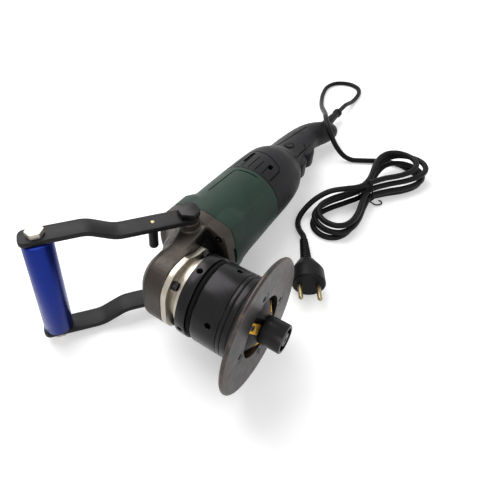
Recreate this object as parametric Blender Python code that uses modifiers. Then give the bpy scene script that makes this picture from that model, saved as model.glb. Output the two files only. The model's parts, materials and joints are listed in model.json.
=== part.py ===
# Edge beveling machine: a long-bodied electric motor with a right-angle gear head, a milling cutter
# with a guide roller, a screw-adjusted guide plate and a forked front handle.
#
# Metres. Every piece is first modelled in the machine's own frame: the origin lies where the motor axis
# crosses the spindle axis, +X runs from the motor towards the handle, the cutter points to -Z and the
# two handle arms lie at +Y and -Y. The machine frame is then laid on its -Y side, as it rests on a floor.

import math

import bmesh
import bpy
import numpy as np
from mathutils import Matrix, Vector

# Clearances shared by all pieces
gap = 0.0003
running_gap = 0.0006
thread_gap = 0.0003
overrun = 0.002
quarter_phase = math.radians(45)
weld_distance = 0.000002
screw_merge = 0.00001

# Gear head casting
nose_front = -0.0204
nose_back = 0.0080
nose_half_width = 0.0366
nose_corner_radius = 0.0268
nose_corner_steps = 4
nose_levels = (-0.0030, 0.0, 0.0030, 0.0055)
nose_insets = (0.0, 0.0008, 0.0032, 0.0062)
nose_back_inset = 0.0105
neck_start = -0.010
neck_middle = -0.026
neck_end = -0.040
neck_radii = (0.0145, 0.0260, 0.0300)
rim_front = -0.0443
rim_back = -0.0597
rim_radius = 0.0446
rim_corner_radius = 0.0494
rim_corner_degrees = (0, 11, 22, 30, 37.5, 45, 52.5, 60, 68, 79)
rim_corner_shares = (0, 0, 0, 0.36, 0.71, 1, 0.71, 0.36, 0, 0)
rim_screw_face = -0.0495
side_low = -0.0165
side_stations = (
    (-0.0040, 0.0366, -0.0030, 0.0310, 0.0050, 0.0240, 0.0078),
    (-0.0180, 0.0376, 0.0010, 0.0320, 0.0085, 0.0210, 0.0112),
    (-0.0300, 0.0388, 0.0040, 0.0320, 0.0120, 0.0200, 0.0150),
    (-0.0455, 0.0412, 0.0100, 0.0300, 0.0260, 0.0180, 0.0360),
)
gear_chamber_radius = 0.0295
gear_chamber_back = 0.003
shaft_chamber_radius = 0.0085
shaft_chamber_front = -0.018
fan_chamber_radius = 0.0360
fan_chamber_front = -0.0545
boss_radius = 0.0108
boss_root = 0.028
boss_face = 0.0476
tail_boss_radius = 0.015
tail_boss_top_radius = 0.0135
tail_boss_back = 0.012
slot_width = 0.018
slot_depth = 0.004
slot_angles = (math.radians(-8), math.radians(23))

# Handle pivot, on the axis of the two side bolts
pivot_x = -0.0369
side_bolt_radius = 0.0059
side_bolt_head_radius = 0.0114
side_bolt_head_height = 0.0065
side_bolt_reach = 0.024

# Cover plate, threaded collar and its bearing
cover_thickness = 0.0059
cover_notch = ((-0.0010, 0.0366), (-0.0042, 0.0347), (-0.0172, 0.0300), (-0.0265, 0.0294))
cover_notch_degrees = 135
cover_screw_radius = 0.0345
cover_screw_head = 0.0042
cover_screw_head_height = 0.005
cover_screw_shank = 0.0024
cover_screw_length = 0.016
spigot_radius = 0.024
spigot_back = -0.018
collar_radius = 0.0336
collar_width = 0.0116
collar_neck_radius = 0.0298
collar_neck_width = 0.0054
thread_radius = 0.0319
thread_front = -0.086
collar_chamber_radius = 0.0293
collar_chamber_back = -0.062
collar_chamber_neck = -0.056
collar_bore = 0.014

# Lock ring, rubber ring and depth sleeve, stacked on the collar's thread
lock_ring_width = 0.0105
lock_ring_radius = 0.0402
rubber_ring_width = 0.0041
rubber_ring_radius = 0.0392
sleeve_length = 0.0372
sleeve_radius = 0.03965
sleeve_groove_depth = 0.0007
sleeve_groove_width = 0.0013
sleeve_groove_step = 0.0042
sleeve_groove_from_front = 0.0053
tommy_hole_radius = 0.0027
tommy_hole_depth = 0.0055
tommy_hole_count = 4
lock_hole_phase = math.radians(78.4)
sleeve_hole_phase = math.radians(21.3)
sleeve_hole_from_back = 0.0177

# Guide plate
plate_radius = 0.065
plate_depth = 0.0127
plate_hole = 0.0298
plate_hub_radius = 0.0400
plate_hub_bore = 0.0325
plate_rim_height = 0.0020
plate_edge_chamfer = 0.0006
plate_flare_radius_shares = (0.105, 0.28, 0.58)
plate_flare_height_shares = (0.80, 0.58, 0.36)
plate_screw_circle = 0.0364
plate_screw_head = 0.0061
plate_screw_sink = 0.0034
plate_screw_shank = 0.0024
plate_screw_length = 0.016
plate_screw_count = 4
plate_screw_phase = math.radians(-2)
socket_share = 0.5
socket_depth = 0.0022

# Spindle, cutter and guide roller
spindle_back = 0.0095
spindle_tail_radius = 0.008
spindle_tail_start = 0.0035
spindle_radius = 0.010
spindle_flange_radius = 0.0125
spindle_flange_back = -0.0365
spindle_flange_front = -0.050
spindle_thread_radius = 0.008
spindle_front = -0.072
bevel_angle = math.radians(30)
bevel_reach = 0.0029
cutter_small_radius = 0.0132
cutter_radius = 0.0285
cutter_rim_width = 0.0083
cutter_waist_radius = 0.0260
cutter_waist = 0.006
cutter_neck_radius = 0.013
cutter_neck_front = -0.062
pin_radius = 0.006
pin_length = 0.0169
insert_count = 3
insert_phase = math.radians(40)
insert_length = 0.0140
insert_width = 0.0094
insert_thickness = 0.0032
insert_proud = 0.0004
insert_hole_radius = 0.0023
insert_screw_head = 0.0026
insert_screw_length = 0.0075
roller_radius = 0.0134
roller_length = 0.0197
roller_bore = 0.0107
roller_chamfer = 0.0006
roller_web_front = -0.1210
center_screw_head = 0.0062
center_screw_head_height = 0.0025
center_screw_shank = 0.0024
center_screw_length = 0.020

# Bevel gear pair, with straight-sided teeth
pinion_teeth = 8
crown_teeth = 30
pinion_root = 0.0044
pinion_tip = 0.0073
pinion_root_width = 0.0022
pinion_tip_width = 0.0008
pinion_front = -0.0197
pinion_back = -0.0253
crown_inner = 0.0192
crown_outer = 0.0258
crown_tooth_width = 0.0011
crown_tooth_top = -0.0053
crown_tooth_root = -0.0077
crown_back = -0.0160
crown_hub_radius = 0.0135
crown_hub_top = -0.0040
crown_hub_reach = 0.0028

# Ball bearings: outer radius, inner radius, width
spindle_bearing = (0.0200, 0.0103, 0.014)
spindle_bearing_back = -0.0208
front_bearing = (0.0175, 0.0078, 0.011)
front_bearing_front = -0.0410
rear_bearing = (0.0130, 0.0053, 0.008)
bearing_seat_gap = 0.0003

# Armature
shaft_nose_radius = 0.0030
shaft_nose_end = -0.0270
shaft_radius = 0.0075
shaft_tail_start = -0.1585
shaft_tail_radius = 0.0050
shaft_back = -0.1715
core_radius = 0.0245
core_front = -0.0760
core_back = -0.1310
armature_winding_radius = 0.0158
front_winding_front = -0.0700
rear_winding_back = -0.1375
commutator_radius = 0.0150
commutator_front = -0.1400
commutator_back = -0.1535
fan_radius = 0.0335
fan_front = -0.0572
fan_disc_thickness = 0.0018
fan_blade_length = 0.0062
fan_blade_thickness = 0.0016
fan_blade_count = 9
fan_hub_radius = 0.0110
fan_blade_root = 0.0095

# Motor housing and the pieces inside it
motor_length = 0.0966
motor_front_radius = 0.0444
motor_back_radius = 0.0426
motor_corner_radius = 0.0492
motor_flare_end = -0.0800
motor_flare_foot = -0.0950
motor_flare_radius = 0.0434
motor_bore = 0.0403
motor_front_bore = 0.0365
motor_front_bore_end = -0.0660
motor_spigot_radius = 0.0385
motor_spigot_length = 0.0035
rear_web_front = -0.1540
bearing_boss_radius = 0.0165
bearing_boss_back = -0.1715
rear_bearing_front = -0.1622
web_hole = 0.0095
housing_screw_circle = 0.0432
housing_screw_head = 0.0037
housing_screw_head_height = 0.0035
housing_screw_shank = 0.0021
housing_screw_length = 0.0150
stator_radius = 0.0400
stator_yoke = 0.0335
stator_bore = 0.0253
stator_front = -0.0740
stator_back = -0.1330
pole_half_width = 0.0190
pole_root = 0.0120
coil_inner = 0.0196
coil_outer = 0.0243
coil_low = 0.0165
coil_high = 0.0218
coil_overhang = 0.0040
lead_ring_radius = 0.0322
lead_ring_bore = 0.0275
lead_ring_width = 0.0022
brush_width = 0.0070
brush_height = 0.0080
brush_wall = 0.0015
brush_length = 0.0160
brush_x = -0.1468
brush_holder_inner = 0.0180
brush_holder_outer = 0.0385

# Rear housing: stations along the motor axis give centre height, half height and half width
rear_length = 0.2351
rear_wall = 0.0028
rear_station_shares = (
    0.0, 0.165, 0.265, 0.315, 0.360, 0.400, 0.455, 0.540, 0.630, 0.694, 0.757, 0.821, 0.872, 0.925, 0.965, 1.0,
)
rear_centre_shares = (
    0.0, -0.01, 0.0, 0.015, 0.03, 0.04, 0.05, 0.07, 0.085, 0.095, 0.08, -0.015, -0.13, -0.27, -0.335, -0.34,
)
rear_height_shares = (
    1.0, 0.98, 0.94, 0.88, 0.80, 0.72, 0.655, 0.625, 0.58, 0.535, 0.51, 0.525, 0.515, 0.43, 0.31, 0.18,
)
rear_width_shares = (
    1.0, 0.98, 0.93, 0.845, 0.73, 0.625, 0.57, 0.52, 0.48, 0.45, 0.42, 0.41, 0.39, 0.34, 0.24, 0.14,
)
rear_ring_points = 18
rear_superellipse = 2.3
tail_last_inner_station = 13
vent_length = 0.025
vent_width = 0.0035
vent_front = -0.1730
vent_inner = 0.0200
vent_heights = (0.0148, 0.0045, -0.0060, -0.0165)

# Trigger, switch and side button
trigger_half_width = 0.0110
trigger_front = -0.2400
trigger_back = -0.3040
trigger_pivot_x = -0.2440
trigger_pivot_z = -0.0190
trigger_top = -0.0145
trunnion_radius = 0.0022
trunnion_reach = 0.0165
trunnion_boss_radius = 0.0048
switch_rib_length = 0.0100
trigger_lobe_shares = (0.0, 0.10, 0.27, 0.42, 0.52, 0.60, 0.73, 0.88, 1.0)
trigger_lobe_depths = (0.0240, 0.0305, 0.0315, 0.0275, 0.0215, 0.0265, 0.0288, 0.0262, 0.0200)
trigger_slot_margin = 0.0006
switch_front = -0.2560
switch_back = -0.3060
switch_low = -0.0065
switch_high = 0.0135
switch_half_width = 0.0110
side_button_x = -0.2640
side_button_z = -0.0025
side_button_radius = 0.0050
side_button_length = 0.0090
side_button_proud = 0.0002

# Cord guard at the end of the tail
guard_z = -0.0050
guard_base_radius = 0.0088
guard_base_x = -0.3730
guard_base_width = 0.0030
guard_neck_radius = 0.0072
guard_neck_end = -0.3955
guard_tip_radius = 0.0052
guard_tip_x = -0.4400
guard_collar_radius = 0.0068
guard_collar_length = 0.0065
guard_rib_count = 3
guard_rib_depth = 0.0008
cord_radius = 0.0035

# Front handle: two joggled flat bars, a grip tube, bolts and stop pins
arm_angle = math.radians(36.6)
arm_width = 0.0210
arm_thickness = 0.00515
arm_near_inner = 0.04795
arm_length = 0.1435
arm_far_reach = 0.0160
arm_far_corner = 0.0070
arm_joggle_start = 0.0660
arm_joggle_end = 0.1040
arm_joggle_steps = 6
arm_end_points = 8
arm_corner_points = 3
tube_radius = 0.0148
tube_half_length = 0.0601
tube_bore = 0.0053
tube_bore_depth = 0.022
grip_bolt_radius = 0.0049
grip_bolt_head_radius = 0.0089
grip_bolt_head_height = 0.0052
grip_bolt_length = 0.025
stop_pin_reach = 0.0362
stop_pin_radius = 0.0048
stop_pin_length = 0.0256
stop_screw_radius = 0.0023

# Spindle lock button on the back of the gear head
lock_button_y = -0.0220
lock_button_radius = 0.0060
lock_button_height = 0.0050
lock_button_travel = 0.0030
lock_pin_radius = 0.0030
lock_pin_end = -0.0012

# Power cord: the free stretch, a hank of seven runs held by a wire tie, and the plug
floor_gap = 0.0001
cord_spacing = 0.0180
spline_steps = 16
cord_exit_straight = 0.0140
cord_route = (
    (0.3050, 0.0072, 0.0120), (0.3340, 0.0052, 0.0046), (0.3625, 0.0055, 0.0036),
    (0.3823, 0.0137, 0.0036), (0.3905, 0.0335, 0.0036), (0.3823, 0.0533, 0.0036),
    (0.3625, 0.0615, 0.0036), (0.3350, 0.0580, 0.0036), (0.3070, 0.0490, 0.0062),
    (0.2790, 0.0380, 0.0140), (0.2510, 0.0250, 0.0255), (0.2240, 0.0125, 0.0375),
    (0.2000, 0.0030, 0.0470), (0.1840, -0.0060, 0.0468), (0.1740, -0.0165, 0.0385),
    (0.1715, -0.0275, 0.0240), (0.1735, -0.0395, 0.0105), (0.1775, -0.0510, 0.0042),
    (0.1825, -0.0615, 0.0036),
)
hank_centre = (0.1065, -0.0945)
hank_heading = math.radians(-17.2)
hank_layer_gap = 0.0009
hank_run_points = 12
far_reach = 0.0930
near_reach = 0.0920
far_shift = -0.0080
top_turn_shift = 0.0020
near_shift = -0.0050
far_spread = 0.0540
near_spread = 0.0490
waist_softness_share = 0.2
waist_row_share = 0.97
climb_speed_share = 1.5
top_row_rise = 0.0010
hank_entry = (
    (0.0815, 0.0345, 0.0036), (0.0878, 0.0268, 0.0036), (0.0925, 0.0175, 0.0036), (0.0945, 0.0070, 0.0036),
)
hank_exit = (
    (-0.0160, 0.0034, 0.0306), (-0.0310, 0.0122, 0.0306), (-0.0450, 0.0224, 0.0278),
    (-0.0600, 0.0302, 0.0192), (-0.0760, 0.0326, 0.0096), (-0.0910, 0.0290, 0.0048),
    (-0.1025, 0.0205, 0.0058), (-0.1112, 0.0095, 0.0098),
)
tie_radius = 0.0009
tie_steps = 26
tie_overlap = math.radians(50)
tie_tail = (
    (0.0020, -0.0150, 0.0024), (0.0062, -0.0182, 0.0018), (0.0108, -0.0188, 0.0014),
    (0.0138, -0.0160, 0.0014), (0.0128, -0.0128, 0.0014),
)
plug_place = (-0.1230, -0.0060, 0.0149)
plug_heading = math.radians(-134)
plug_tilt = math.radians(3)
plug_neck_radii = (0.0046, 0.0064)
plug_neck_length = 0.0340
plug_rib_count = 5
plug_rib_depth = 0.0009
plug_body_radius = 0.0175
plug_body_length = 0.0340
plug_shoulder_share = 0.45
plug_pin_radius = 0.0024
plug_pin_length = 0.0190
plug_pin_spacing = 0.0190

# Named places worked out from the sizes above
cover_back = nose_front - gap
cover_front = cover_back - cover_thickness
collar_back = cover_front - gap
collar_front = collar_back - collar_width
lock_ring_back = collar_front - gap
lock_ring_front = lock_ring_back - lock_ring_width
rubber_back = lock_ring_front - gap
rubber_front = rubber_back - rubber_ring_width
sleeve_back = rubber_front - gap
sleeve_front = sleeve_back - sleeve_length
plate_back = sleeve_front - gap
plate_front = plate_back - plate_depth
thread_bore = thread_radius + thread_gap
cutter_small_end = plate_front - bevel_reach
cutter_large_end = cutter_small_end + (cutter_radius - cutter_small_radius) * math.tan(bevel_angle)
cutter_rim_back = cutter_large_end + cutter_rim_width
cutter_back = spindle_flange_front - gap
pin_front = cutter_small_end - pin_length
roller_back = cutter_small_end - gap
roller_front = roller_back - roller_length
roller_web_bore = pin_radius + gap
arm_far_inner = tube_half_length + gap
motor_front = rim_back - gap
motor_back = motor_front - motor_length
rear_front = motor_back - gap
rear_back = rear_front - rear_length
trunnion_place = (trigger_pivot_x, 0, trigger_pivot_z)

# Scene and collections
for leftover in list(bpy.data.objects):
    bpy.data.objects.remove(leftover)
part_collection = bpy.data.collections.new("edge_beveling_machine")
bpy.context.scene.collection.children.link(part_collection)
helper_collection = bpy.data.collections.new("cutters")
bpy.context.scene.collection.children.link(helper_collection)

axis_turn = {
    "X": Matrix.Rotation(math.radians(90), 4, "Y"),
    "Y": Matrix.Rotation(math.radians(-90), 4, "X"),
    "Z": Matrix.Identity(4),
}


# Shape helpers: each returns a helper object whose mesh lies in the machine frame
def helper_object(data, matrix=Matrix.Identity(4)):
    obj = bpy.data.objects.new("helper", data)
    obj.matrix_world = matrix
    obj.hide_render = True
    obj.display_type = "WIRE"
    helper_collection.objects.link(obj)
    return obj


def clean_mesh(mesh):
    bm = bmesh.new()
    bm.from_mesh(mesh)
    bmesh.ops.remove_doubles(bm, verts=bm.verts, dist=weld_distance)
    bmesh.ops.dissolve_degenerate(bm, dist=weld_distance, edges=bm.edges)
    bmesh.ops.recalc_face_normals(bm, faces=bm.faces)
    bm.to_mesh(mesh)
    bm.free()


def baked(obj):
    bpy.context.view_layer.update()
    graph = bpy.context.evaluated_depsgraph_get()
    mesh = bpy.data.meshes.new_from_object(obj.evaluated_get(graph))
    mesh.transform(obj.matrix_world)
    clean_mesh(mesh)
    bpy.data.objects.remove(obj)
    return helper_object(mesh)


def turned(profile, axis="Z", steps=28, at=(0, 0, 0)):
    mesh = bpy.data.meshes.new("profile")
    points = [(radius, 0, height) for radius, height in profile]
    edges = [(index, index + 1) for index in range(len(points) - 1)]
    if all(radius > 0 for radius, height in profile):
        edges.append((len(points) - 1, 0))
    mesh.from_pydata(points, edges, [])
    obj = helper_object(mesh, Matrix.Translation(at) @ axis_turn[axis])
    screw = obj.modifiers.new("turn", "SCREW")
    screw.steps = steps
    screw.render_steps = steps
    screw.use_merge_vertices = True
    screw.merge_threshold = screw_merge
    return baked(obj)


def ring(outer, inner, high, low, axis="Z", steps=28, at=(0, 0, 0)):
    return turned([(outer, high), (outer, low), (inner, low), (inner, high)], axis, steps, at)


def disc(radius, high, low, axis="Z", steps=24, at=(0, 0, 0)):
    mesh = bpy.data.meshes.new("disc")
    bm = bmesh.new()
    bmesh.ops.create_cone(
        bm, cap_ends=True, segments=steps, radius1=radius, radius2=radius, depth=high - low
    )
    bm.to_mesh(mesh)
    bm.free()
    middle = Matrix.Translation((0, 0, (high + low) / 2))
    return baked(helper_object(mesh, Matrix.Translation(at) @ axis_turn[axis] @ middle))


def block(size, centre, turn=Matrix.Identity(4)):
    mesh = bpy.data.meshes.new("block")
    bm = bmesh.new()
    bmesh.ops.create_cube(bm, size=1)
    bm.to_mesh(mesh)
    bm.free()
    return baked(helper_object(mesh, turn @ Matrix.Translation(centre) @ Matrix.Diagonal((*size, 1))))


def prism(outline, low, high, axis="Z"):
    # The outline is read as (X, Y) along Z, as (X, Z) along Y and as (Y, Z) along X
    if axis == "Y":
        outline = [(first, -second) for first, second in outline]
    if axis == "X":
        outline = [(-second, first) for first, second in outline]
    curve = bpy.data.curves.new("outline", "CURVE")
    curve.dimensions = "2D"
    curve.fill_mode = "BOTH"
    curve.extrude = (high - low) / 2
    spline = curve.splines.new("POLY")
    spline.points.add(len(outline) - 1)
    for point, (first, second) in zip(spline.points, outline):
        point.co = (first, second, 0, 1)
    spline.use_cyclic_u = True
    middle = Matrix.Translation((0, 0, (high + low) / 2))
    return baked(helper_object(curve, axis_turn[axis] @ middle))


def loft(rings):
    mesh = bpy.data.meshes.new("loft")
    bm = bmesh.new()
    rows = [[bm.verts.new(point) for point in points] for points in rings]
    count = len(rows[0])
    for row, following in zip(rows, rows[1:]):
        for index in range(count):
            after = (index + 1) % count
            bm.faces.new((row[index], row[after], following[after], following[index]))
    bm.faces.new(rows[0])
    bm.faces.new(rows[-1])
    bm.to_mesh(mesh)
    bm.free()
    return baked(helper_object(mesh))


def combined(base, others, operation):
    for other in others:
        modifier = base.modifiers.new(operation.lower(), "BOOLEAN")
        modifier.operation = operation
        modifier.solver = "EXACT"
        modifier.object = other
    result = baked(base)
    for other in others:
        bpy.data.objects.remove(other)
    return result


def united(base, *others):
    return combined(base, others, "UNION")


def cut(base, *others):
    return combined(base, others, "DIFFERENCE")


def common(base, *others):
    return combined(base, others, "INTERSECT")


def moved(obj, matrix):
    obj.data.transform(matrix)
    return obj


def copies(obj, matrices):
    bm = bmesh.new()
    for matrix in matrices:
        mesh = obj.data.copy()
        mesh.transform(matrix)
        bm.from_mesh(mesh)
    mesh = bpy.data.meshes.new("copies")
    bm.to_mesh(mesh)
    bm.free()
    bpy.data.objects.remove(obj)
    clean_mesh(mesh)
    return helper_object(mesh)


def around(count, phase=0, axis="Z"):
    turn = math.tau / count
    return [Matrix.Rotation(phase + index * turn, 4, axis) for index in range(count)]


# Machine frame and joint frames
def empty(name, location=(0, 0, 0), parent=None):
    obj = bpy.data.objects.new(name, None)
    obj.location = location
    obj.parent = parent
    part_collection.objects.link(obj)
    return obj


machine = empty("machine_frame")
rotor_joint = empty("rotor_axis", parent=machine)
spindle_joint = empty("spindle_axis", parent=machine)
roller_joint = empty("roller_axis", (0, 0, roller_back), machine)
lock_ring_joint = empty("lock_ring_axis", (0, 0, lock_ring_front), machine)
depth_joint = empty("depth_axis", (0, 0, sleeve_back), machine)
handle_joint = empty("handle_axis", (pivot_x, 0, 0), machine)
trigger_joint = empty("trigger_axis", (trigger_pivot_x, 0, trigger_pivot_z), machine)
side_button_joint = empty("side_button_axis", (side_button_x, 0, side_button_z), machine)
spindle_lock_joint = empty("spindle_lock_axis", (0, lock_button_y, nose_back), machine)

# Materials: colour, metallic, roughness
finishes = {
    "cast": ((0.30, 0.28, 0.24), 0.7, 0.45),
    "silver": ((0.66, 0.64, 0.58), 1.0, 0.32),
    "black_steel": ((0.025, 0.025, 0.028), 0.6, 0.38),
    "plate": ((0.13, 0.105, 0.095), 0.8, 0.42),
    "steel": ((0.45, 0.45, 0.45), 1.0, 0.3),
    "gold": ((0.72, 0.48, 0.10), 1.0, 0.3),
    "blue": ((0.01, 0.045, 0.42), 0.9, 0.28),
    "green": ((0.045, 0.085, 0.066), 0.0, 0.45),
    "charcoal": ((0.030, 0.031, 0.034), 0.0, 0.5),
    "rubber": ((0.012, 0.012, 0.012), 0.0, 0.6),
    "copper": ((0.60, 0.25, 0.10), 1.0, 0.35),
    "carbon": ((0.05, 0.05, 0.05), 0.1, 0.7),
    "brass": ((0.70, 0.52, 0.22), 1.0, 0.3),
}


def material(name):
    colour, metallic, roughness = finishes[name]
    found = bpy.data.materials.new(name)
    found.use_nodes = True
    shader = found.node_tree.nodes["Principled BSDF"]
    shader.inputs["Base Color"].default_value = (*colour, 1)
    shader.inputs["Metallic"].default_value = metallic
    shader.inputs["Roughness"].default_value = roughness
    return found


sharp_angle = math.radians(35)


def publish(name, obj, finish, joint=None):
    frame = joint or machine
    obj.name = name
    obj.data.name = name
    if joint:
        obj.data.transform(Matrix.Translation(-joint.location))
    obj.data.materials.clear()
    obj.data.materials.append(material(finish))
    obj.data.shade_smooth()
    obj.data.set_sharp_from_angle(angle=sharp_angle)
    obj.parent = frame
    obj.hide_render = False
    obj.display_type = "TEXTURED"
    helper_collection.objects.unlink(obj)
    part_collection.objects.link(obj)
    return obj


def publish_each(name, obj, matrices, finish, joint=None):
    for index, matrix in enumerate(matrices):
        mesh = obj.data.copy()
        mesh.transform(matrix)
        publish(f"{name}_{index + 1}", helper_object(mesh), finish, joint)
    bpy.data.objects.remove(obj)


def corner_arc(half_width, corner_radius, start, end, steps):
    # An arc of a rounded square's corner, between two angles of one quadrant
    centre = half_width - corner_radius
    middle = (start + end) / 2
    across = math.copysign(centre, math.cos(middle))
    upward = math.copysign(centre, math.sin(middle))
    points = []
    for index in range(steps + 1):
        angle = start + (end - start) * index / steps
        points.append((across + corner_radius * math.cos(angle), upward + corner_radius * math.sin(angle)))
    return points


def nose_ring(inset, height):
    points = []
    for quarter in range(4):
        start = quarter * math.pi / 2
        points += corner_arc(
            nose_half_width - inset, nose_corner_radius - inset, start, start + math.pi / 2, nose_corner_steps
        )
    return [(x, y, height) for x, y in points]


def cornered_ring(x, flat, corner):
    # Round at the four sides and drawn out at the four diagonals
    points = []
    for quarter in range(4):
        for degrees, share in zip(rim_corner_degrees, rim_corner_shares):
            angle = math.radians(90 * quarter + degrees)
            radius = flat + (corner - flat) * share
            points.append((x, radius * math.cos(angle), radius * math.sin(angle)))
    return points


def socket_screw(head_radius, head_height, shank_radius, length, head_base):
    # The head stands on the -Z side of head_base and the shank runs to +Z
    top = head_base + length
    screw = turned(
        [
            (0, top), (shank_radius, top), (shank_radius, head_base), (head_radius, head_base),
            (head_radius, head_base - head_height), (0, head_base - head_height),
        ],
        steps=10,
    )
    socket_high = head_base - head_height + min(socket_depth, head_height * (1 - socket_share / 2))
    socket = disc(head_radius * socket_share, socket_high, head_base - head_height - overrun, steps=6)
    return cut(screw, socket)


# Gear housing
def side_ring(x, half_width, shoulder, slope_width, slope_height, top_width, top_height):
    outline = [(half_width, side_low), (half_width, shoulder), (slope_width, slope_height)]
    outline.append((top_width, top_height))
    outline += [(-across, upward) for across, upward in outline[::-1]]
    return [(x, across, upward) for across, upward in outline]


def gear_housing():
    rings = [nose_ring(0, nose_front)]
    for inset, height in zip(nose_insets, nose_levels):
        rings.append(nose_ring(inset, height))
    rings.append(nose_ring(nose_back_inset, nose_back))
    body = loft(rings)
    neck = turned(
        [
            (0, neck_start), (neck_radii[0], neck_start), (neck_radii[1], neck_middle),
            (neck_radii[2], neck_end), (neck_radii[2], rim_front - overrun), (0, rim_front - overrun),
        ],
        "X",
        16,
    )
    rim = loft([cornered_ring(x, rim_radius, rim_corner_radius) for x in (rim_front, rim_back)])
    side_body = loft([side_ring(*station) for station in side_stations])
    tail_boss = turned(
        [
            (0, tail_boss_back), (tail_boss_top_radius, tail_boss_back), (tail_boss_radius, nose_back),
            (tail_boss_radius, 0), (0, 0),
        ],
        steps=16,
    )
    bosses = [
        disc(boss_radius, boss_face, boss_root, "Y", 16, (pivot_x, 0, 0)),
        disc(boss_radius, -boss_root, -boss_face, "Y", 16, (pivot_x, 0, 0)),
    ]
    seat_back = nose_half_width + gap
    seat_size = (2 * seat_back, 4 * seat_back, 2 * seat_back)
    neck = cut(neck, block(seat_size, (0, 0, nose_front + gap - seat_back)))
    body = united(body, neck, side_body, rim, tail_boss, *bosses)
    bearing_outer = front_bearing[0] + bearing_seat_gap
    tail_radius = spindle_tail_radius + running_gap
    spindle_hole = spindle_radius + running_gap
    tail_bore = turned(
        [
            (0, spindle_back + gap), (tail_radius, spindle_back + gap),
            (tail_radius, spindle_tail_start + gap), (spindle_hole, spindle_tail_start + gap),
            (spindle_hole, 0), (0, 0),
        ],
        steps=16,
    )
    cavities = [
        disc(gear_chamber_radius, gear_chamber_back, nose_front - overrun, "Z", 20),
        disc(shaft_chamber_radius, shaft_chamber_front, front_bearing_front, "X", 12),
        disc(bearing_outer, front_bearing_front + gap, fan_chamber_front - overrun, "X", 20),
        disc(fan_chamber_radius, fan_chamber_front, rim_back - overrun, "X", 20),
        tail_bore,
    ]
    bolt_hole = side_bolt_radius + gap
    bolt_end = side_bolt_reach - gap
    cavities.append(disc(bolt_hole, boss_face + overrun, bolt_end, "Y", 12, (pivot_x, 0, 0)))
    cavities.append(disc(bolt_hole, -bolt_end, -boss_face - overrun, "Y", 12, (pivot_x, 0, 0)))
    body = cut(body, *cavities)
    screw_hole = cover_screw_shank + gap
    screw_top = cover_front + cover_screw_length + gap
    cover_holes = disc(screw_hole, screw_top, nose_front - overrun, "Z", 8, (cover_screw_radius, 0, 0))
    hole_radius = housing_screw_shank + gap
    spot_radius = housing_screw_head + gap
    rim_holes = turned(
        [
            (0, rim_front + overrun), (spot_radius, rim_front + overrun),
            (spot_radius, rim_screw_face - gap), (hole_radius, rim_screw_face - gap),
            (hole_radius, rim_back - overrun), (0, rim_back - overrun),
        ],
        "X",
        10,
        (0, 0, housing_screw_circle),
    )
    slot_centre = (rim_back + slot_depth / 2 - overrun / 2, 0, rim_radius)
    slot_height = 2 * (rim_radius - fan_chamber_radius + overrun)
    slot = block((slot_depth + overrun, slot_width, slot_height), slot_centre)
    slot_places = []
    for angle in slot_angles:
        slot_places.append(Matrix.Rotation(angle, 4, "X"))
        slot_places.append(Matrix.Rotation(math.pi - angle, 4, "X"))
    pin_hole = disc(
        lock_pin_radius + gap, nose_back + overrun, 0, "Z", 12, (0, lock_button_y, 0)
    )
    return cut(
        body,
        copies(cover_holes, around(4, quarter_phase)),
        copies(rim_holes, around(4, quarter_phase, "X")),
        copies(slot, slot_places),
        pin_hole,
    )


publish("gear_housing", gear_housing(), "cast")


# Cover plate, collar and their screws
def cover_plate():
    right_angle = math.pi / 2
    outline = corner_arc(nose_half_width, nose_corner_radius, 0, right_angle, nose_corner_steps)
    outline += cover_notch
    first_angle = math.radians(cover_notch_degrees)
    outline += corner_arc(nose_half_width, nose_corner_radius, first_angle, math.pi, nose_corner_steps // 2)
    outline += [(x, -y) for x, y in outline[::-1]]
    body = prism(outline, cover_front, cover_back)
    bore = disc(spigot_radius + gap, cover_back + overrun, cover_front - overrun, "Z", 28)
    hole = disc(cover_screw_shank + gap, cover_back + overrun, cover_front - overrun, "Z", 8)
    hole = moved(hole, Matrix.Translation((cover_screw_radius, 0, 0)))
    return cut(body, bore, copies(hole, around(4, quarter_phase)))


def threaded_collar():
    seat = spindle_bearing[0] + bearing_seat_gap
    seat_front = spindle_bearing_back - spindle_bearing[2] - gap
    return turned(
        [
            (spigot_radius, spigot_back), (spigot_radius, collar_back),
            (collar_neck_radius, collar_back), (collar_neck_radius, collar_back - collar_neck_width),
            (collar_radius, collar_back - collar_neck_width), (collar_radius, collar_front),
            (thread_radius, collar_front), (thread_radius, thread_front),
            (collar_chamber_radius, thread_front), (collar_chamber_radius, collar_chamber_back),
            (collar_bore, collar_chamber_neck), (collar_bore, seat_front), (seat, seat_front),
            (seat, spigot_back),
        ]
    )


publish("cover_plate", cover_plate(), "silver")
publish("threaded_collar", threaded_collar(), "silver")
cover_screw = socket_screw(
    cover_screw_head, cover_screw_head_height, cover_screw_shank, cover_screw_length, cover_front - gap
)
cover_screw = moved(cover_screw, Matrix.Translation((cover_screw_radius, 0, 0)))
publish_each("cover_screw", cover_screw, around(4, quarter_phase), "black_steel")


# Lock ring, rubber ring, depth sleeve
def radial_holes(count, phase, radius, height):
    hole = disc(tommy_hole_radius, radius + overrun, radius - tommy_hole_depth, "X", 10)
    hole = moved(hole, Matrix.Translation((0, 0, height)))
    return copies(hole, around(count, phase))


def lock_ring():
    body = ring(lock_ring_radius, thread_bore, lock_ring_back, lock_ring_front)
    middle = (lock_ring_back + lock_ring_front) / 2
    return cut(body, radial_holes(tommy_hole_count, lock_hole_phase, lock_ring_radius, middle))


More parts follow.
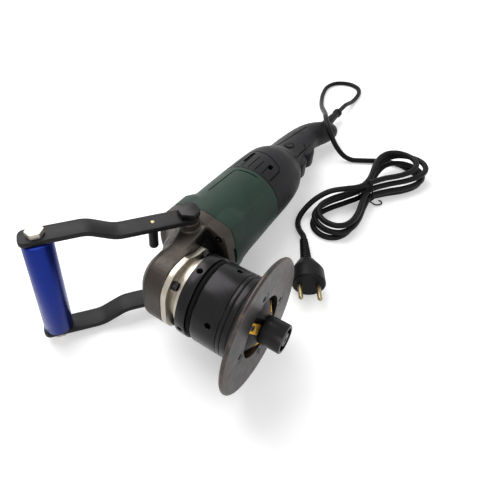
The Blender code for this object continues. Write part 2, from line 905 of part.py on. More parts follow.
def depth_sleeve():
    groove_radius = sleeve_radius - sleeve_groove_depth
    profile = [(sleeve_radius, sleeve_back)]
    for index in (1, 0):
        groove_front = sleeve_front + sleeve_groove_from_front + index * sleeve_groove_step
        groove_back = groove_front + sleeve_groove_width
        profile += [(sleeve_radius, groove_back), (groove_radius, groove_back)]
        profile += [(groove_radius, groove_front), (sleeve_radius, groove_front)]
    profile += [(sleeve_radius, sleeve_front), (thread_bore, sleeve_front), (thread_bore, sleeve_back)]
    body = turned(profile)
    screw_top = plate_front + plate_screw_length + gap
    hole = disc(plate_screw_shank + gap, screw_top, sleeve_front - overrun, "Z", 8)
    hole = moved(hole, Matrix.Translation((plate_screw_circle, 0, 0)))
    hole_height = sleeve_back - sleeve_hole_from_back
    return cut(
        body,
        copies(hole, around(plate_screw_count, plate_screw_phase)),
        radial_holes(tommy_hole_count, sleeve_hole_phase, sleeve_radius, hole_height),
    )


publish("lock_ring", lock_ring(), "black_steel", lock_ring_joint)
rubber = ring(rubber_ring_radius, thread_bore, rubber_back, rubber_front)
publish("rubber_ring", rubber, "rubber", depth_joint)
publish("depth_sleeve", depth_sleeve(), "black_steel", depth_joint)


# Guide plate and its countersunk screws
def guide_plate():
    rim_back_height = plate_front + plate_rim_height
    profile = [(plate_hub_radius, plate_back)]
    reach = plate_radius - plate_hub_radius
    for radius_share, height_share in zip(plate_flare_radius_shares, plate_flare_height_shares):
        profile.append((plate_hub_radius + reach * radius_share, plate_front + plate_depth * height_share))
    profile += [
        (plate_radius - plate_edge_chamfer, rim_back_height + plate_edge_chamfer),
        (plate_radius, rim_back_height), (plate_radius, plate_front + plate_edge_chamfer),
        (plate_radius - plate_edge_chamfer, plate_front), (plate_hole, plate_front),
        (plate_hole, sleeve_front - plate_depth / 2), (plate_hub_bore, plate_back),
    ]
    body = turned(profile, steps=36)
    sink_radius = plate_screw_head + gap
    hole_radius = plate_screw_shank + gap
    sink_end = plate_front + plate_screw_sink
    sink = turned(
        [
            (0, plate_back + overrun), (hole_radius, plate_back + overrun), (hole_radius, sink_end),
            (sink_radius, plate_front), (sink_radius, plate_front - overrun), (0, plate_front - overrun),
        ],
        steps=12,
    )
    sink = moved(sink, Matrix.Translation((plate_screw_circle, 0, 0)))
    return cut(body, copies(sink, around(plate_screw_count, plate_screw_phase)))


def plate_screw():
    top = plate_front + plate_screw_length
    sink_end = plate_front + plate_screw_sink - gap
    face = plate_front + gap
    body = turned(
        [
            (0, top), (plate_screw_shank, top), (plate_screw_shank, sink_end),
            (plate_screw_head - gap, face), (0, face),
        ],
        steps=10,
    )
    socket_radius = plate_screw_head * socket_share
    body = cut(body, disc(socket_radius, face + socket_depth, face - overrun, steps=6))
    return moved(body, Matrix.Translation((plate_screw_circle, 0, 0)))


publish("guide_plate", guide_plate(), "plate", depth_joint)
screw_places = around(plate_screw_count, plate_screw_phase)
publish_each("plate_screw", plate_screw(), screw_places, "black_steel", depth_joint)


# Bearings, each one ring in its seat with running clearance to its shaft
def bearing(sizes, high, axis):
    outer, inner, width = sizes
    return ring(outer, inner, high, high - width, axis, 20)


publish("spindle_bearing", bearing(spindle_bearing, spindle_bearing_back, "Z"), "steel")
publish("front_bearing", bearing(front_bearing, front_bearing_front, "X"), "steel")
publish("rear_bearing", bearing(rear_bearing, rear_bearing_front, "X"), "steel")


# Spindle and gears
def spindle():
    return turned(
        [
            (0, spindle_back - gap), (spindle_tail_radius, spindle_back - gap),
            (spindle_tail_radius, spindle_tail_start), (spindle_radius, spindle_tail_start),
            (spindle_radius, spindle_flange_back), (spindle_flange_radius, spindle_flange_back),
            (spindle_flange_radius, spindle_flange_front),
            (spindle_thread_radius, spindle_flange_front), (spindle_thread_radius, spindle_front),
            (0, spindle_front),
        ],
        steps=16,
    )


def crown_gear():
    hub_front = crown_back - crown_hub_reach
    body = turned(
        [
            (crown_hub_radius, crown_hub_top), (crown_hub_radius, crown_tooth_root),
            (crown_outer, crown_tooth_root), (crown_outer, crown_back + gap),
            (crown_hub_radius, hub_front), (spindle_radius + gap, hub_front),
            (spindle_radius + gap, crown_hub_top),
        ],
        steps=30,
    )
    tooth_low = crown_tooth_root - overrun
    size = (crown_outer - crown_inner, crown_tooth_width, crown_tooth_top - tooth_low)
    centre = ((crown_outer + crown_inner) / 2 - gap, 0, (crown_tooth_top + tooth_low) / 2)
    half_pitch = math.pi / crown_teeth
    teeth = copies(block(size, centre), around(crown_teeth, half_pitch))
    return united(body, teeth)


def pinion_teeth_solid():
    outline = []
    for index in range(pinion_teeth):
        middle = math.tau * index / pinion_teeth - math.pi / 2
        for radius, width, side in (
            (pinion_root, pinion_root_width, -1), (pinion_tip, pinion_tip_width, -1),
            (pinion_tip, pinion_tip_width, 1), (pinion_root, pinion_root_width, 1),
        ):
            angle = middle + side * math.asin(width / 2 / radius)
            outline.append((radius * math.cos(angle), radius * math.sin(angle)))
    return prism(outline, pinion_back, pinion_front, "X")


publish("spindle", spindle(), "steel", spindle_joint)
publish("crown_gear", crown_gear(), "steel", spindle_joint)


# Cutter body with three flat inserts
def insert_frame(index):
    # Local X runs down the slope of the cone, local Z leaves its surface
    mid_radius = (cutter_small_radius + cutter_radius) / 2 - insert_proud
    mid_height = cutter_small_end + (mid_radius - cutter_small_radius) * math.tan(bevel_angle)
    place = Matrix.Translation((mid_radius, 0, mid_height)) @ Matrix.Rotation(math.pi - bevel_angle, 4, "Y")
    return Matrix.Rotation(insert_phase + math.tau * index / insert_count, 4, "Z") @ place


insert_frames = [insert_frame(index) for index in range(insert_count)]


def cutter_body():
    bore = spindle_thread_radius + gap
    screw_bore = center_screw_shank + gap
    screw_end = pin_front + center_screw_length + gap
    body = turned(
        [
            (0, spindle_front - gap), (bore, spindle_front - gap), (bore, cutter_back),
            (cutter_neck_radius, cutter_back), (cutter_neck_radius, cutter_neck_front),
            (cutter_waist_radius, cutter_rim_back + cutter_waist), (cutter_radius, cutter_rim_back),
            (cutter_radius, cutter_large_end), (cutter_small_radius, cutter_small_end),
            (pin_radius, cutter_small_end), (pin_radius, pin_front), (screw_bore, pin_front),
            (screw_bore, screw_end), (0, screw_end),
        ],
        steps=20,
    )
    depth = insert_thickness - insert_proud + gap
    pocket_size = (insert_length + 2 * gap, insert_width + 2 * gap, depth + overrun)
    pocket = block(pocket_size, (0, 0, (overrun - depth) / 2))
    hole = disc(insert_hole_radius, 0, insert_proud - insert_screw_length - gap, "Z", 8)
    return cut(body, copies(pocket, insert_frames), copies(hole, insert_frames))


def cutter_insert():
    size = (insert_length, insert_width, insert_thickness)
    body = block(size, (0, 0, insert_proud - insert_thickness / 2))
    shank = disc(insert_hole_radius - gap, 0, insert_proud - insert_screw_length, "Z", 8)
    sink = turned(
        [
            (0, insert_proud + overrun), (insert_screw_head, insert_proud + overrun),
            (insert_screw_head, insert_proud), (insert_screw_head * socket_share, -insert_proud),
            (0, -insert_proud),
        ],
        steps=8,
    )
    return cut(united(body, shank), sink)


publish("cutter_body", cutter_body(), "black_steel", spindle_joint)
publish_each("cutter_insert", cutter_insert(), insert_frames, "gold", spindle_joint)


# Guide roller on the cutter's pin
def guide_roller():
    return turned(
        [
            (roller_radius - roller_chamfer, roller_back), (roller_radius, roller_back - roller_chamfer),
            (roller_radius, roller_front + roller_chamfer), (roller_radius - roller_chamfer, roller_front),
            (roller_bore, roller_front), (roller_bore, roller_web_front), (roller_web_bore, roller_web_front),
            (roller_web_bore, roller_back),
        ],
        steps=24,
    )


publish("guide_roller", guide_roller(), "black_steel", roller_joint)
center_screw = socket_screw(
    center_screw_head, center_screw_head_height, center_screw_shank, center_screw_length, pin_front - gap
)
publish("center_screw", center_screw, "steel", spindle_joint)


# Armature
def rotor_shaft():
    shaft = turned(
        [
            (0, pinion_back + overrun), (shaft_nose_radius, pinion_back + overrun),
            (shaft_nose_radius, shaft_nose_end), (shaft_radius, shaft_nose_end),
            (shaft_radius, shaft_tail_start), (shaft_tail_radius, shaft_tail_start),
            (shaft_tail_radius, shaft_back), (0, shaft_back),
        ],
        "X",
        16,
    )
    return united(shaft, pinion_teeth_solid())


shaft_bore = shaft_radius + gap
publish("rotor_shaft", rotor_shaft(), "steel", rotor_joint)
rotor_core = turned(
    [
        (armature_winding_radius, front_winding_front), (armature_winding_radius, core_front),
        (core_radius, core_front), (core_radius, core_back), (armature_winding_radius, core_back),
        (armature_winding_radius, rear_winding_back), (shaft_bore, rear_winding_back),
        (shaft_bore, front_winding_front),
    ],
    "X",
    20,
)
publish("rotor_core", rotor_core, "steel", rotor_joint)
commutator = ring(commutator_radius, shaft_bore, commutator_front, commutator_back, "X", 20)
publish("commutator", commutator, "copper", rotor_joint)


def fan():
    disc_back = fan_front - fan_disc_thickness
    blade_back = disc_back - fan_blade_length
    body = turned(
        [
            (fan_radius, fan_front), (fan_radius, disc_back), (fan_hub_radius, disc_back),
            (fan_hub_radius, blade_back), (shaft_bore, blade_back), (shaft_bore, fan_front),
        ],
        "X",
        20,
    )
    blade_high = fan_radius - overrun / 2
    size = (fan_blade_length + fan_disc_thickness / 2, fan_blade_thickness, blade_high - fan_blade_root)
    centre = (disc_back + fan_disc_thickness / 4 - fan_blade_length / 2, 0, (blade_high + fan_blade_root) / 2)
    blades = copies(block(size, centre), around(fan_blade_count, 0, "X"))
    return united(body, blades)


publish("fan", fan(), "charcoal", rotor_joint)


# Motor housing
def motor_housing():
    seat = rear_bearing[0] + bearing_seat_gap
    seat_front = rear_bearing_front + gap
    spigot_end = motor_back - motor_spigot_length
    body = loft(
        [
            cornered_ring(motor_front, motor_front_radius, motor_corner_radius),
            cornered_ring(motor_flare_end, motor_front_radius, motor_corner_radius),
            cornered_ring(motor_flare_foot, motor_flare_radius, motor_flare_radius),
            cornered_ring(motor_back, motor_back_radius, motor_back_radius),
        ]
    )
    back = turned(
        [
            (0, motor_back + overrun), (motor_spigot_radius, motor_back + overrun),
            (motor_spigot_radius, spigot_end), (bearing_boss_radius, spigot_end),
            (bearing_boss_radius, bearing_boss_back), (0, bearing_boss_back),
        ],
        "X",
        28,
    )
    chamber = turned(
        [
            (0, motor_front + overrun), (motor_front_bore, motor_front + overrun),
            (motor_front_bore, motor_front_bore_end), (motor_bore, motor_front_bore_end),
            (motor_bore, rear_web_front), (web_hole, rear_web_front), (web_hole, seat_front),
            (seat, seat_front), (seat, bearing_boss_back - overrun), (0, bearing_boss_back - overrun),
        ],
        "X",
        28,
    )
    screw_end = rim_screw_face - housing_screw_length - gap
    hole = disc(housing_screw_shank + gap, motor_front + overrun, screw_end, "X", 8)
    hole = moved(hole, Matrix.Translation((0, 0, housing_screw_circle)))
    return cut(united(body, back), chamber, copies(hole, around(4, quarter_phase, "X")))


publish("motor_housing", motor_housing(), "green")
housing_screw = socket_screw(
    housing_screw_head, housing_screw_head_height, housing_screw_shank, housing_screw_length, 0
)
turn_to_axis = Matrix.Translation((rim_screw_face, 0, housing_screw_circle)) @ Matrix.Rotation(
    math.radians(-90), 4, "Y"
)
housing_screw = moved(housing_screw, turn_to_axis)
publish_each("housing_screw", housing_screw, around(4, quarter_phase, "X"), "black_steel")


# Stator core with two poles, and its two field coils
def stator_core():
    body = ring(stator_radius, stator_yoke, stator_front, stator_back, "X", 28)
    length = stator_front - stator_back
    pole_top = (stator_yoke + stator_radius) / 2
    pole_base = math.sqrt(pole_top ** 2 - pole_half_width ** 2)
    size = (length - gap, 2 * pole_half_width, pole_base - pole_root)
    centre = ((stator_front + stator_back) / 2, 0, (pole_base + pole_root) / 2)
    poles = copies(block(size, centre), around(2, 0, "X"))
    body = united(body, poles)
    return cut(body, disc(stator_bore, stator_front + overrun, stator_back - overrun, "X", 28))


def field_windings():
    length = stator_front - stator_back + 2 * coil_overhang
    height = coil_high - coil_low
    middle = ((stator_front + stator_back) / 2, 0, (coil_high + coil_low) / 2)
    frame = block((length, 2 * coil_outer, height), middle)
    opening = block((stator_front - stator_back + 2 * gap, 2 * coil_inner, height + 2 * overrun), middle)
    coils = copies(cut(frame, opening), around(2, 0, "X"))
    lead_front = stator_front + coil_overhang + lead_ring_width / 2
    leads = ring(lead_ring_radius, lead_ring_bore, lead_front, lead_front - lead_ring_width, "X", 20)
    return united(leads, coils)


publish("stator_core", stator_core(), "steel")
publish("field_windings", field_windings(), "copper")


# Brushes in their holders, at the two sides of the commutator
def brush_carrier():
    outer = (brush_width + 2 * brush_wall, brush_holder_outer - brush_holder_inner)
    size = (outer[0], outer[1], brush_height + 2 * brush_wall)
    centre = (brush_x, (brush_holder_outer + brush_holder_inner) / 2, 0)
    passage = (brush_width + 2 * gap, outer[1] + 2 * overrun, brush_height + 2 * gap)
    holders = copies(block(size, centre), around(2, 0, "X"))
    plate_low = rear_web_front + gap
    plate_high = brush_x - size[0] / 2 + brush_wall / 2
    plate = ring(motor_bore - gap, brush_holder_inner, plate_high, plate_low, "X", 28)
    return cut(united(plate, holders), copies(block(passage, centre), around(2, 0, "X")))


def carbon_brush():
    inner = commutator_radius + gap
    size = (brush_width, brush_length, brush_height)
    curve_sag = commutator_radius - math.sqrt(commutator_radius ** 2 - (brush_height / 2) ** 2)
    body = block(size, (brush_x, inner - curve_sag + brush_length / 2, 0))
    return cut(body, disc(inner, brush_x + brush_width, brush_x - brush_width, "X", 40))


publish("brush_carrier", brush_carrier(), "brass")
publish_each("carbon_brush", carbon_brush(), around(2, 0, "X"), "carbon")


# Rear housing: one lofted body, hollowed and split on the plane of the trigger
def rear_ring(x, centre, half_height, half_width):
    points = []
    for index in range(rear_ring_points):
        angle = math.tau * index / rear_ring_points
        power = 2 / rear_superellipse
        if x >= rear_front - rear_length * rear_station_shares[2]:
            power = 1
        across = math.copysign(abs(math.cos(angle)) ** power, math.cos(angle)) * half_width
        upward = math.copysign(abs(math.sin(angle)) ** power, math.sin(angle)) * half_height
        points.append((x, across, centre + upward))
    return points


def rear_stations():
    stations = []
    for share, centre, height, width in zip(
        rear_station_shares, rear_centre_shares, rear_height_shares, rear_width_shares
    ):
        x = rear_front - rear_length * share
        stations.append(
            (x, motor_back_radius * centre, motor_back_radius * height, motor_back_radius * width)
        )
    return stations


stations = rear_stations()


def rear_surface(x):
    # Centre height, half height and half width of the outer surface at one place on the axis
    places = [station[0] for station in stations][::-1]
    return [float(np.interp(x, places, [station[i] for station in stations][::-1])) for i in (1, 2, 3)]


def trigger_depth(share):
    return float(np.interp(share, trigger_lobe_shares, trigger_lobe_depths))


def rear_housing():
    outer = loft([rear_ring(*station) for station in stations])
    inner_rings = []
    for x, centre, height, width in stations[:tail_last_inner_station + 1]:
        inner_rings.append(rear_ring(x, centre, height - rear_wall, width - rear_wall))
    first = stations[0]
    inner_rings.insert(0, rear_ring(first[0] + overrun, first[1], first[2] - rear_wall, first[3] - rear_wall))
    rib_size = (switch_rib_length, motor_back_radius, switch_high - switch_low)
    rib_x = (switch_front + switch_back) / 2
    rib_z = (switch_high + switch_low) / 2
    rib_y = switch_half_width + gap + motor_back_radius / 2
    boss_start = trigger_half_width + trigger_slot_margin
    supports = [
        block(rib_size, (rib_x, rib_y, rib_z)),
        block(rib_size, (rib_x, -rib_y, rib_z)),
        disc(trunnion_boss_radius, motor_back_radius, boss_start, "Y", 16, trunnion_place),
        disc(trunnion_boss_radius, -boss_start, -motor_back_radius, "Y", 16, trunnion_place),
    ]
    hollow = cut(loft(inner_rings), *supports)
    body = cut(outer, hollow)
    guard_hole = disc(
        guard_neck_radius + gap, stations[tail_last_inner_station - 1][0], rear_back - overrun, "X", 16
    )
    guard_hole = moved(guard_hole, Matrix.Translation((0, 0, guard_z)))
    margin = trigger_slot_margin
    slot_length = trigger_front - trigger_back + 2 * margin
    slot_low = -motor_back_radius - overrun
    slot = block(
        (slot_length, 2 * (trigger_half_width + margin), trigger_top - slot_low),
        ((trigger_front + trigger_back) / 2, 0, (trigger_top + slot_low) / 2),
    )
    vent = block(
        (vent_length, 2 * motor_back_radius, vent_width),
        (vent_front - vent_length / 2, vent_inner + motor_back_radius, 0),
    )
    vent_places = []
    for height in vent_heights:
        vent_places.append(Matrix.Translation((0, 0, height)))
        vent_places.append(Matrix.Translation((0, -2 * (vent_inner + motor_back_radius), height)))
    button_hole = disc(
        side_button_radius + gap, motor_back_radius, 0, "Y", 16, (side_button_x, 0, side_button_z)
    )
    sockets = disc(
        trunnion_radius + gap, trunnion_reach + gap, -trunnion_reach - gap, "Y", 12, trunnion_place
    )
    body = cut(body, guard_hole, slot, copies(vent, vent_places), button_hole, sockets)
    return body


def half_space(side):
    span = 2 * rear_length
    centre = (rear_front - rear_length / 2, side * (span / 2 - gap / 2), 0)
    return block((span, span, span), centre)


whole = rear_housing()
second = copies(helper_object(whole.data.copy()), [Matrix.Identity(4)])
publish("rear_housing_left", cut(whole, half_space(-1)), "charcoal")
publish("rear_housing_right", cut(second, half_space(1)), "charcoal")


# Trigger, switch, side button
def trigger():
    outline = [(trigger_back, trigger_top - trigger_slot_margin)]
    length = trigger_back - trigger_front
    outline.append((trigger_front, trigger_top - trigger_slot_margin))
    for share in trigger_lobe_shares:
        outline.append((trigger_front + length * share, -trigger_depth(share)))
    body = prism(outline, -trigger_half_width, trigger_half_width, "Y")
    trunnions = disc(trunnion_radius, trunnion_reach, -trunnion_reach, "Y", 12, trunnion_place)
    return united(body, trunnions)


publish("trigger", trigger(), "charcoal", trigger_joint)
switch = block(
    (switch_front - switch_back, 2 * switch_half_width, switch_high - switch_low),
    ((switch_front + switch_back) / 2, 0, (switch_high + switch_low) / 2),
)
publish("switch_module", switch, "charcoal")


def side_button():
    face = rear_surface(side_button_x)[2] + side_button_proud
    button = disc(
        side_button_radius, face, face - side_button_length, "Y", 20, (side_button_x, 0, side_button_z)
    )
    return button


publish("side_button", side_button(), "black_steel", side_button_joint)


# Cord guard, ribbed and tapered, seated in the tail's hole
def cord_guard():
    rib_run = guard_neck_end - guard_tip_x
    rib_step = rib_run / guard_rib_count
    profile = [
        (guard_neck_radius, guard_base_x + guard_base_width),
        (guard_base_radius, guard_base_x + guard_base_width), (guard_base_radius, guard_base_x),
        (guard_neck_radius, guard_base_x), (guard_neck_radius, guard_neck_end),
    ]
    for index in range(1, guard_rib_count):
        share = index / guard_rib_count
        radius = guard_neck_radius + (guard_tip_radius - guard_neck_radius) * share
        middle = guard_neck_end - rib_step * index
        profile += [(radius, middle + guard_rib_depth), (radius - guard_rib_depth, middle)]
        profile += [(radius, middle - guard_rib_depth)]
    profile += [
        (guard_tip_radius, guard_tip_x), (guard_collar_radius, guard_tip_x),
        (guard_collar_radius, guard_tip_x - guard_collar_length),
        (cord_radius + gap, guard_tip_x - guard_collar_length),
        (cord_radius + gap, guard_base_x + guard_base_width),
    ]
    return turned(profile, "X", 12, (0, 0, guard_z))


publish("cord_guard", cord_guard(), "rubber")


# Front handle: each arm runs from the side bolt to the grip tube and steps outwards half way
def arm_course():
    # Inner and outer face of the bar, with a smooth step outwards
    rise = arm_far_inner - arm_near_inner
    run = arm_joggle_end - arm_joggle_start
    inner = []
    outer = []
    for index in range(arm_joggle_steps + 1):
        share = index / arm_joggle_steps
        x = arm_joggle_start + run * share
        y = arm_near_inner + rise * share * share * (3 - 2 * share)
        slope = math.atan2(rise * 6 * share * (1 - share), run)
        inner.append((x, y))
        outer.append((x - arm_thickness * math.sin(slope), y + arm_thickness * math.cos(slope)))
    return inner, outer


def arm(side):
    half_width = arm_width / 2
    end = arm_length + arm_far_reach
    far_outer = arm_far_inner + arm_thickness
    inner, outer = arm_course()
    outline = [(-half_width, arm_near_inner), *inner, (end, arm_far_inner), (end, far_outer)]
    outline += [*outer[::-1], (-half_width, arm_near_inner + arm_thickness)]
    if side < 0:
        outline = [(x, -y) for x, y in outline][::-1]
    plan = prism(outline, -half_width, half_width)
    bar = []
    for index in range(arm_corner_points + 1):
        angle = math.pi / 2 * (1 - index / arm_corner_points)
        along = end - arm_far_corner * (1 - math.cos(angle))
        bar.append((along, half_width - arm_far_corner * (1 - math.sin(angle))))
    bar += [(along, -upward) for along, upward in bar[::-1]]
    for index in range(arm_end_points + 1):
        angle = -math.pi / 2 - math.pi * index / arm_end_points
        bar.append((half_width * math.cos(angle), half_width * math.sin(angle)))
    high = far_outer + overrun
    body = common(plan, prism(bar, -high, high, "Y"))
    holes = [
        disc(side_bolt_radius + gap, high, -high, "Y", 14),
        disc(grip_bolt_radius + gap, high, -high, "Y", 12, (arm_length, 0, 0)),
        disc(stop_screw_radius + gap, high, -high, "Y", 8, (stop_pin_reach, 0, 0)),
    ]
    return cut(body, *holes)


handle_frame = Matrix.Translation((pivot_x, 0, 0)) @ Matrix.Rotation(-arm_angle, 4, "Y")


def placed_on_handle(obj):
    return moved(obj, handle_frame)


publish("upper_arm", placed_on_handle(arm(1)), "black_steel", handle_joint)
publish("lower_arm", placed_on_handle(arm(-1)), "black_steel", handle_joint)


def grip_tube():
    body = disc(tube_radius, tube_half_length, -tube_half_length, "Y", 28, (arm_length, 0, 0))
    bore_start = tube_half_length - tube_bore_depth
    return cut(
        body,
        disc(tube_bore, tube_half_length + overrun, bore_start, "Y", 12, (arm_length, 0, 0)),
        disc(tube_bore, -bore_start, -tube_half_length - overrun, "Y", 12, (arm_length, 0, 0)),
    )


publish("grip_tube", placed_on_handle(grip_tube()), "blue", handle_joint)


def bolt(head_radius, head_height, shank_radius, head_base, shank_end, at):
    # A hexagon head outside head_base and a round shank running inwards to shank_end
    shank = disc(shank_radius, head_base + head_height / 2, shank_end, "Y", 14, at)
    head = disc(head_radius, head_base + head_height, head_base, "Y", 6, at)
    return united(shank, head)


mirror_sides = (Matrix.Identity(4), Matrix.Rotation(math.pi, 4, "X"))
grip_head_base = arm_far_inner + arm_thickness + gap
grip_bolt = bolt(
    grip_bolt_head_radius, grip_bolt_head_height, grip_bolt_radius, grip_head_base,
    grip_head_base - grip_bolt_length, (arm_length, 0, 0),
)
grip_places = [handle_frame @ matrix for matrix in mirror_sides]
publish_each("grip_bolt", grip_bolt, grip_places, "silver", handle_joint)
side_head_base = arm_near_inner + arm_thickness + gap
side_bolt = bolt(
    side_bolt_head_radius, side_bolt_head_height, side_bolt_radius, side_head_base, side_bolt_reach,
    (pivot_x, 0, 0),
)
publish_each("side_bolt", side_bolt, mirror_sides, "black_steel")


def stop_pin():
    outer_face = arm_near_inner + arm_thickness
    pin_outer = arm_near_inner - gap
    pin = disc(stop_pin_radius, pin_outer, pin_outer - stop_pin_length, "Y", 14, (stop_pin_reach, 0, 0))
    neck = disc(
        stop_screw_radius, outer_face, pin_outer - overrun, "Y", 8, (stop_pin_reach, 0, 0)
    )
    return united(pin, neck)


stop_places = [handle_frame @ matrix for matrix in mirror_sides]
publish_each("stop_pin", stop_pin(), stop_places, "brass", handle_joint)


# Spindle lock button on the back of the gear head
def spindle_lock_button():
    head_low = nose_back + lock_button_travel + gap
    head = disc(
        lock_button_radius, head_low + lock_button_height, head_low, "Z", 20, (0, lock_button_y, 0)
    )
    pin = disc(lock_pin_radius, head_low + overrun, lock_pin_end, "Z", 12, (0, lock_button_y, 0))
    return united(head, pin)


publish("spindle_lock_button", spindle_lock_button(), "black_steel", spindle_lock_joint)


# The machine lies on its -Y side: on the guide plate, the front handle and the rear end of the motor
def lowest(names, up):
    best = None
    for name in names:
        obj = bpy.data.objects[name]
        place = obj.parent.location if obj.parent != machine else Vector((0, 0, 0))
        for vertex in obj.data.vertices:
            point = vertex.co + place
            if best is None or point.dot(up) < best.dot(up):
                best = point.copy()
    return best


resting_groups = (
    ("guide_plate",),
    ("lower_arm", "grip_bolt_2", "grip_bolt_1"),
    ("rear_housing_left", "rear_housing_right", "motor_housing"),
)
up = Vector((0, 1, 0))
for attempt in range(20):
    first, second, third = (lowest(names, up) for names in resting_groups)
    normal = (second - first).cross(third - first).normalized()
    up = normal if normal.y > 0 else -normal
row_x = (Vector((-1, 0, 0)) - up * up.dot(Vector((-1, 0, 0)))).normalized()
row_y = up.cross(row_x)
machine_turn = Matrix((row_x, row_y, up)).to_4x4()


def place_machine():
    points = []
    for obj in part_collection.objects:
        if obj.type != "MESH":
            continue
        place = obj.parent.location if obj.parent != machine else Vector((0, 0, 0))
        points += [machine_turn @ (vertex.co + place) for vertex in obj.data.vertices]
    lows = [min(point[axis] for point in points) for axis in range(3)]
    highs = [max(point[axis] for point in points) for axis in range(3)]
    centre = Vector(((lows[0] + highs[0]) / 2, (lows[1] + highs[1]) / 2, lows[2]))
    machine.matrix_world = Matrix.Translation(-centre) @ machine_turn
    bpy.context.view_layer.update()


place_machine()


# Loose cord pieces are modelled straight in the room, on the surface that the machine lies on
def smooth_path(points, spacing):
    # A curve through the given points, read again at even steps
    ends = [2 * points[0] - points[1], *points, 2 * points[-1] - points[-2]]
    fine = []
    for index in range(1, len(ends) - 2):
        before, start, end, after = ends[index - 1:index + 3]
        for step in range(spline_steps):
            t = step / spline_steps
            fine.append(
                (
                    2 * start + (end - before) * t + (2 * before - 5 * start + 4 * end - after) * t ** 2
                    + (3 * start - before - 3 * end + after) * t ** 3
                ) / 2
            )
    fine.append(ends[-2])
    lengths = [0]
    for start, end in zip(fine, fine[1:]):
        lengths.append(lengths[-1] + (end - start).length)
    count = max(2, round(lengths[-1] / spacing))
    wanted = np.linspace(0, lengths[-1], count + 1)
    columns = [np.interp(wanted, lengths, [point[axis] for point in fine]) for axis in range(3)]
    return [Vector(values) for values in zip(*columns)], lengths[-1]


def tube(points, radius, resolution):
    curve = bpy.data.curves.new("path", "CURVE")
    curve.dimensions = "3D"
    curve.bevel_depth = radius
    curve.bevel_resolution = resolution
    curve.use_fill_caps = True
    spline = curve.splines.new("POLY")
    spline.points.add(len(points) - 1)
    for point, place in zip(spline.points, points):
        point.co = (*place, 1)
    return baked(helper_object(curve))


def publish_loose(name, obj, finish):
    published = publish(name, obj, finish)
    published.parent = None
    return published


# Hank: seven runs laid on each other, drawn in at the waist. A run goes from one end turn to the next.
hank_turn = Matrix.Translation((*hank_centre, 0)) @ Matrix.Rotation(hank_heading, 4, "Z")
layer = 2 * cord_radius + hank_layer_gap
floor_height = cord_radius + floor_gap
waist_row = layer * waist_row_share
waist_floor = floor_height + 2 * tie_radius + gap


def hank_run(side, waist_column, waist_height, starts, ends, heading):
    # starts and ends each give the turn's reach, sideways shift, spread and layer
    points = []
    for index in range(hank_run_points + 1):
        angle = math.pi * index / hank_run_points
        reach, shift, spread, level = starts if index <= hank_run_points / 2 else ends
        sine = math.sin(angle)
        cosine = math.cos(angle)
        soft = math.hypot(cosine, waist_softness_share) - waist_softness_share
        across = side * (waist_column + spread * soft) * sine + shift * soft
        closeness = min(1, abs(cosine) * climb_speed_share)
        blend = closeness ** 2 * (3 - 2 * closeness)
        level_height = floor_height + layer * level
        height = waist_height + (level_height - waist_height) * blend
        points.append(Vector((heading * reach * cosine, across, height)))
    return points


def hank_points():
    far_turns = [
        (far_reach, far_shift, far_spread, 0), (far_reach, far_shift, far_spread, 1),
        (far_reach + layer, far_shift, far_spread, 2),
        (far_reach - layer / 2, top_turn_shift, far_spread, 3),
    ]
    near_turns = [
        (near_reach, near_shift, near_spread, 0), (near_reach - layer / 2, near_shift, near_spread, 1),
        (near_reach - layer, near_shift, near_spread, 2),
    ]
    columns = (1, 1, 2, 2, 1, 1)
    rows = (0, 0, 1, 1, 2, 2)
    points = []
    for run in range(6):
        turns = (far_turns[run // 2], near_turns[run // 2], far_turns[(run + 1) // 2])
        side = -1 if run % 2 == 0 else 1
        starts, ends = turns[run % 2:run % 2 + 2]
        heading = 1 if run % 2 == 0 else -1
        column = columns[run] * layer / 2
        height = waist_floor + rows[run] * waist_row
        points += hank_run(side, column, height, starts, ends, heading)[:-1]
    top = waist_floor + 2 * waist_row + layer + top_row_rise
    points += hank_run(-1, 0, top, far_turns[3], far_turns[3], 1)[:hank_run_points // 2 + 1]
    return points


plug_frame = (
    hank_turn @ Matrix.Translation(plug_place) @ Matrix.Rotation(plug_heading, 4, "Z")
    @ Matrix.Rotation(-plug_tilt, 4, "Y")
)
hank_path = [Vector(point) for point in hank_entry] + hank_points()
leaving = smooth_path([hank_path[-1]] + [Vector(point) for point in hank_exit], cord_spacing / 2)[0]
hank_path += leaving[1:]
hank_path = [hank_turn @ point for point in hank_path]
hank_path += [plug_frame @ Vector((-reach, 0, 0)) for reach in (2 * cord_radius, gap)]
entry_direction = (hank_path[1] - hank_path[0]).normalized()
hank_path.insert(1, hank_path[0] + entry_direction * 2 * cord_radius)
publish_loose("cord_hank", tube(hank_path, cord_radius, 1), "rubber")


def least_self_gap(points, radius):
    # Distances between stretches that lie further apart along the tube than a few radii
    fine, length = smooth_path(points, radius)
    places = np.array([tuple(point) for point in fine])
    apart = max(6, round(4 * radius / (length / len(fine))))
    least = None
    for index in range(len(places) - apart):
        distances = np.linalg.norm(places[index + apart:] - places[index], axis=1)
        nearest = float(distances.min())
        least = nearest if least is None else min(least, nearest)
    return least - 2 * radius, length


hank_gap, hank_length = least_self_gap(hank_path, cord_radius)
print("hank least gap mm", round(hank_gap * 1000, 2), "length", round(hank_length, 3))

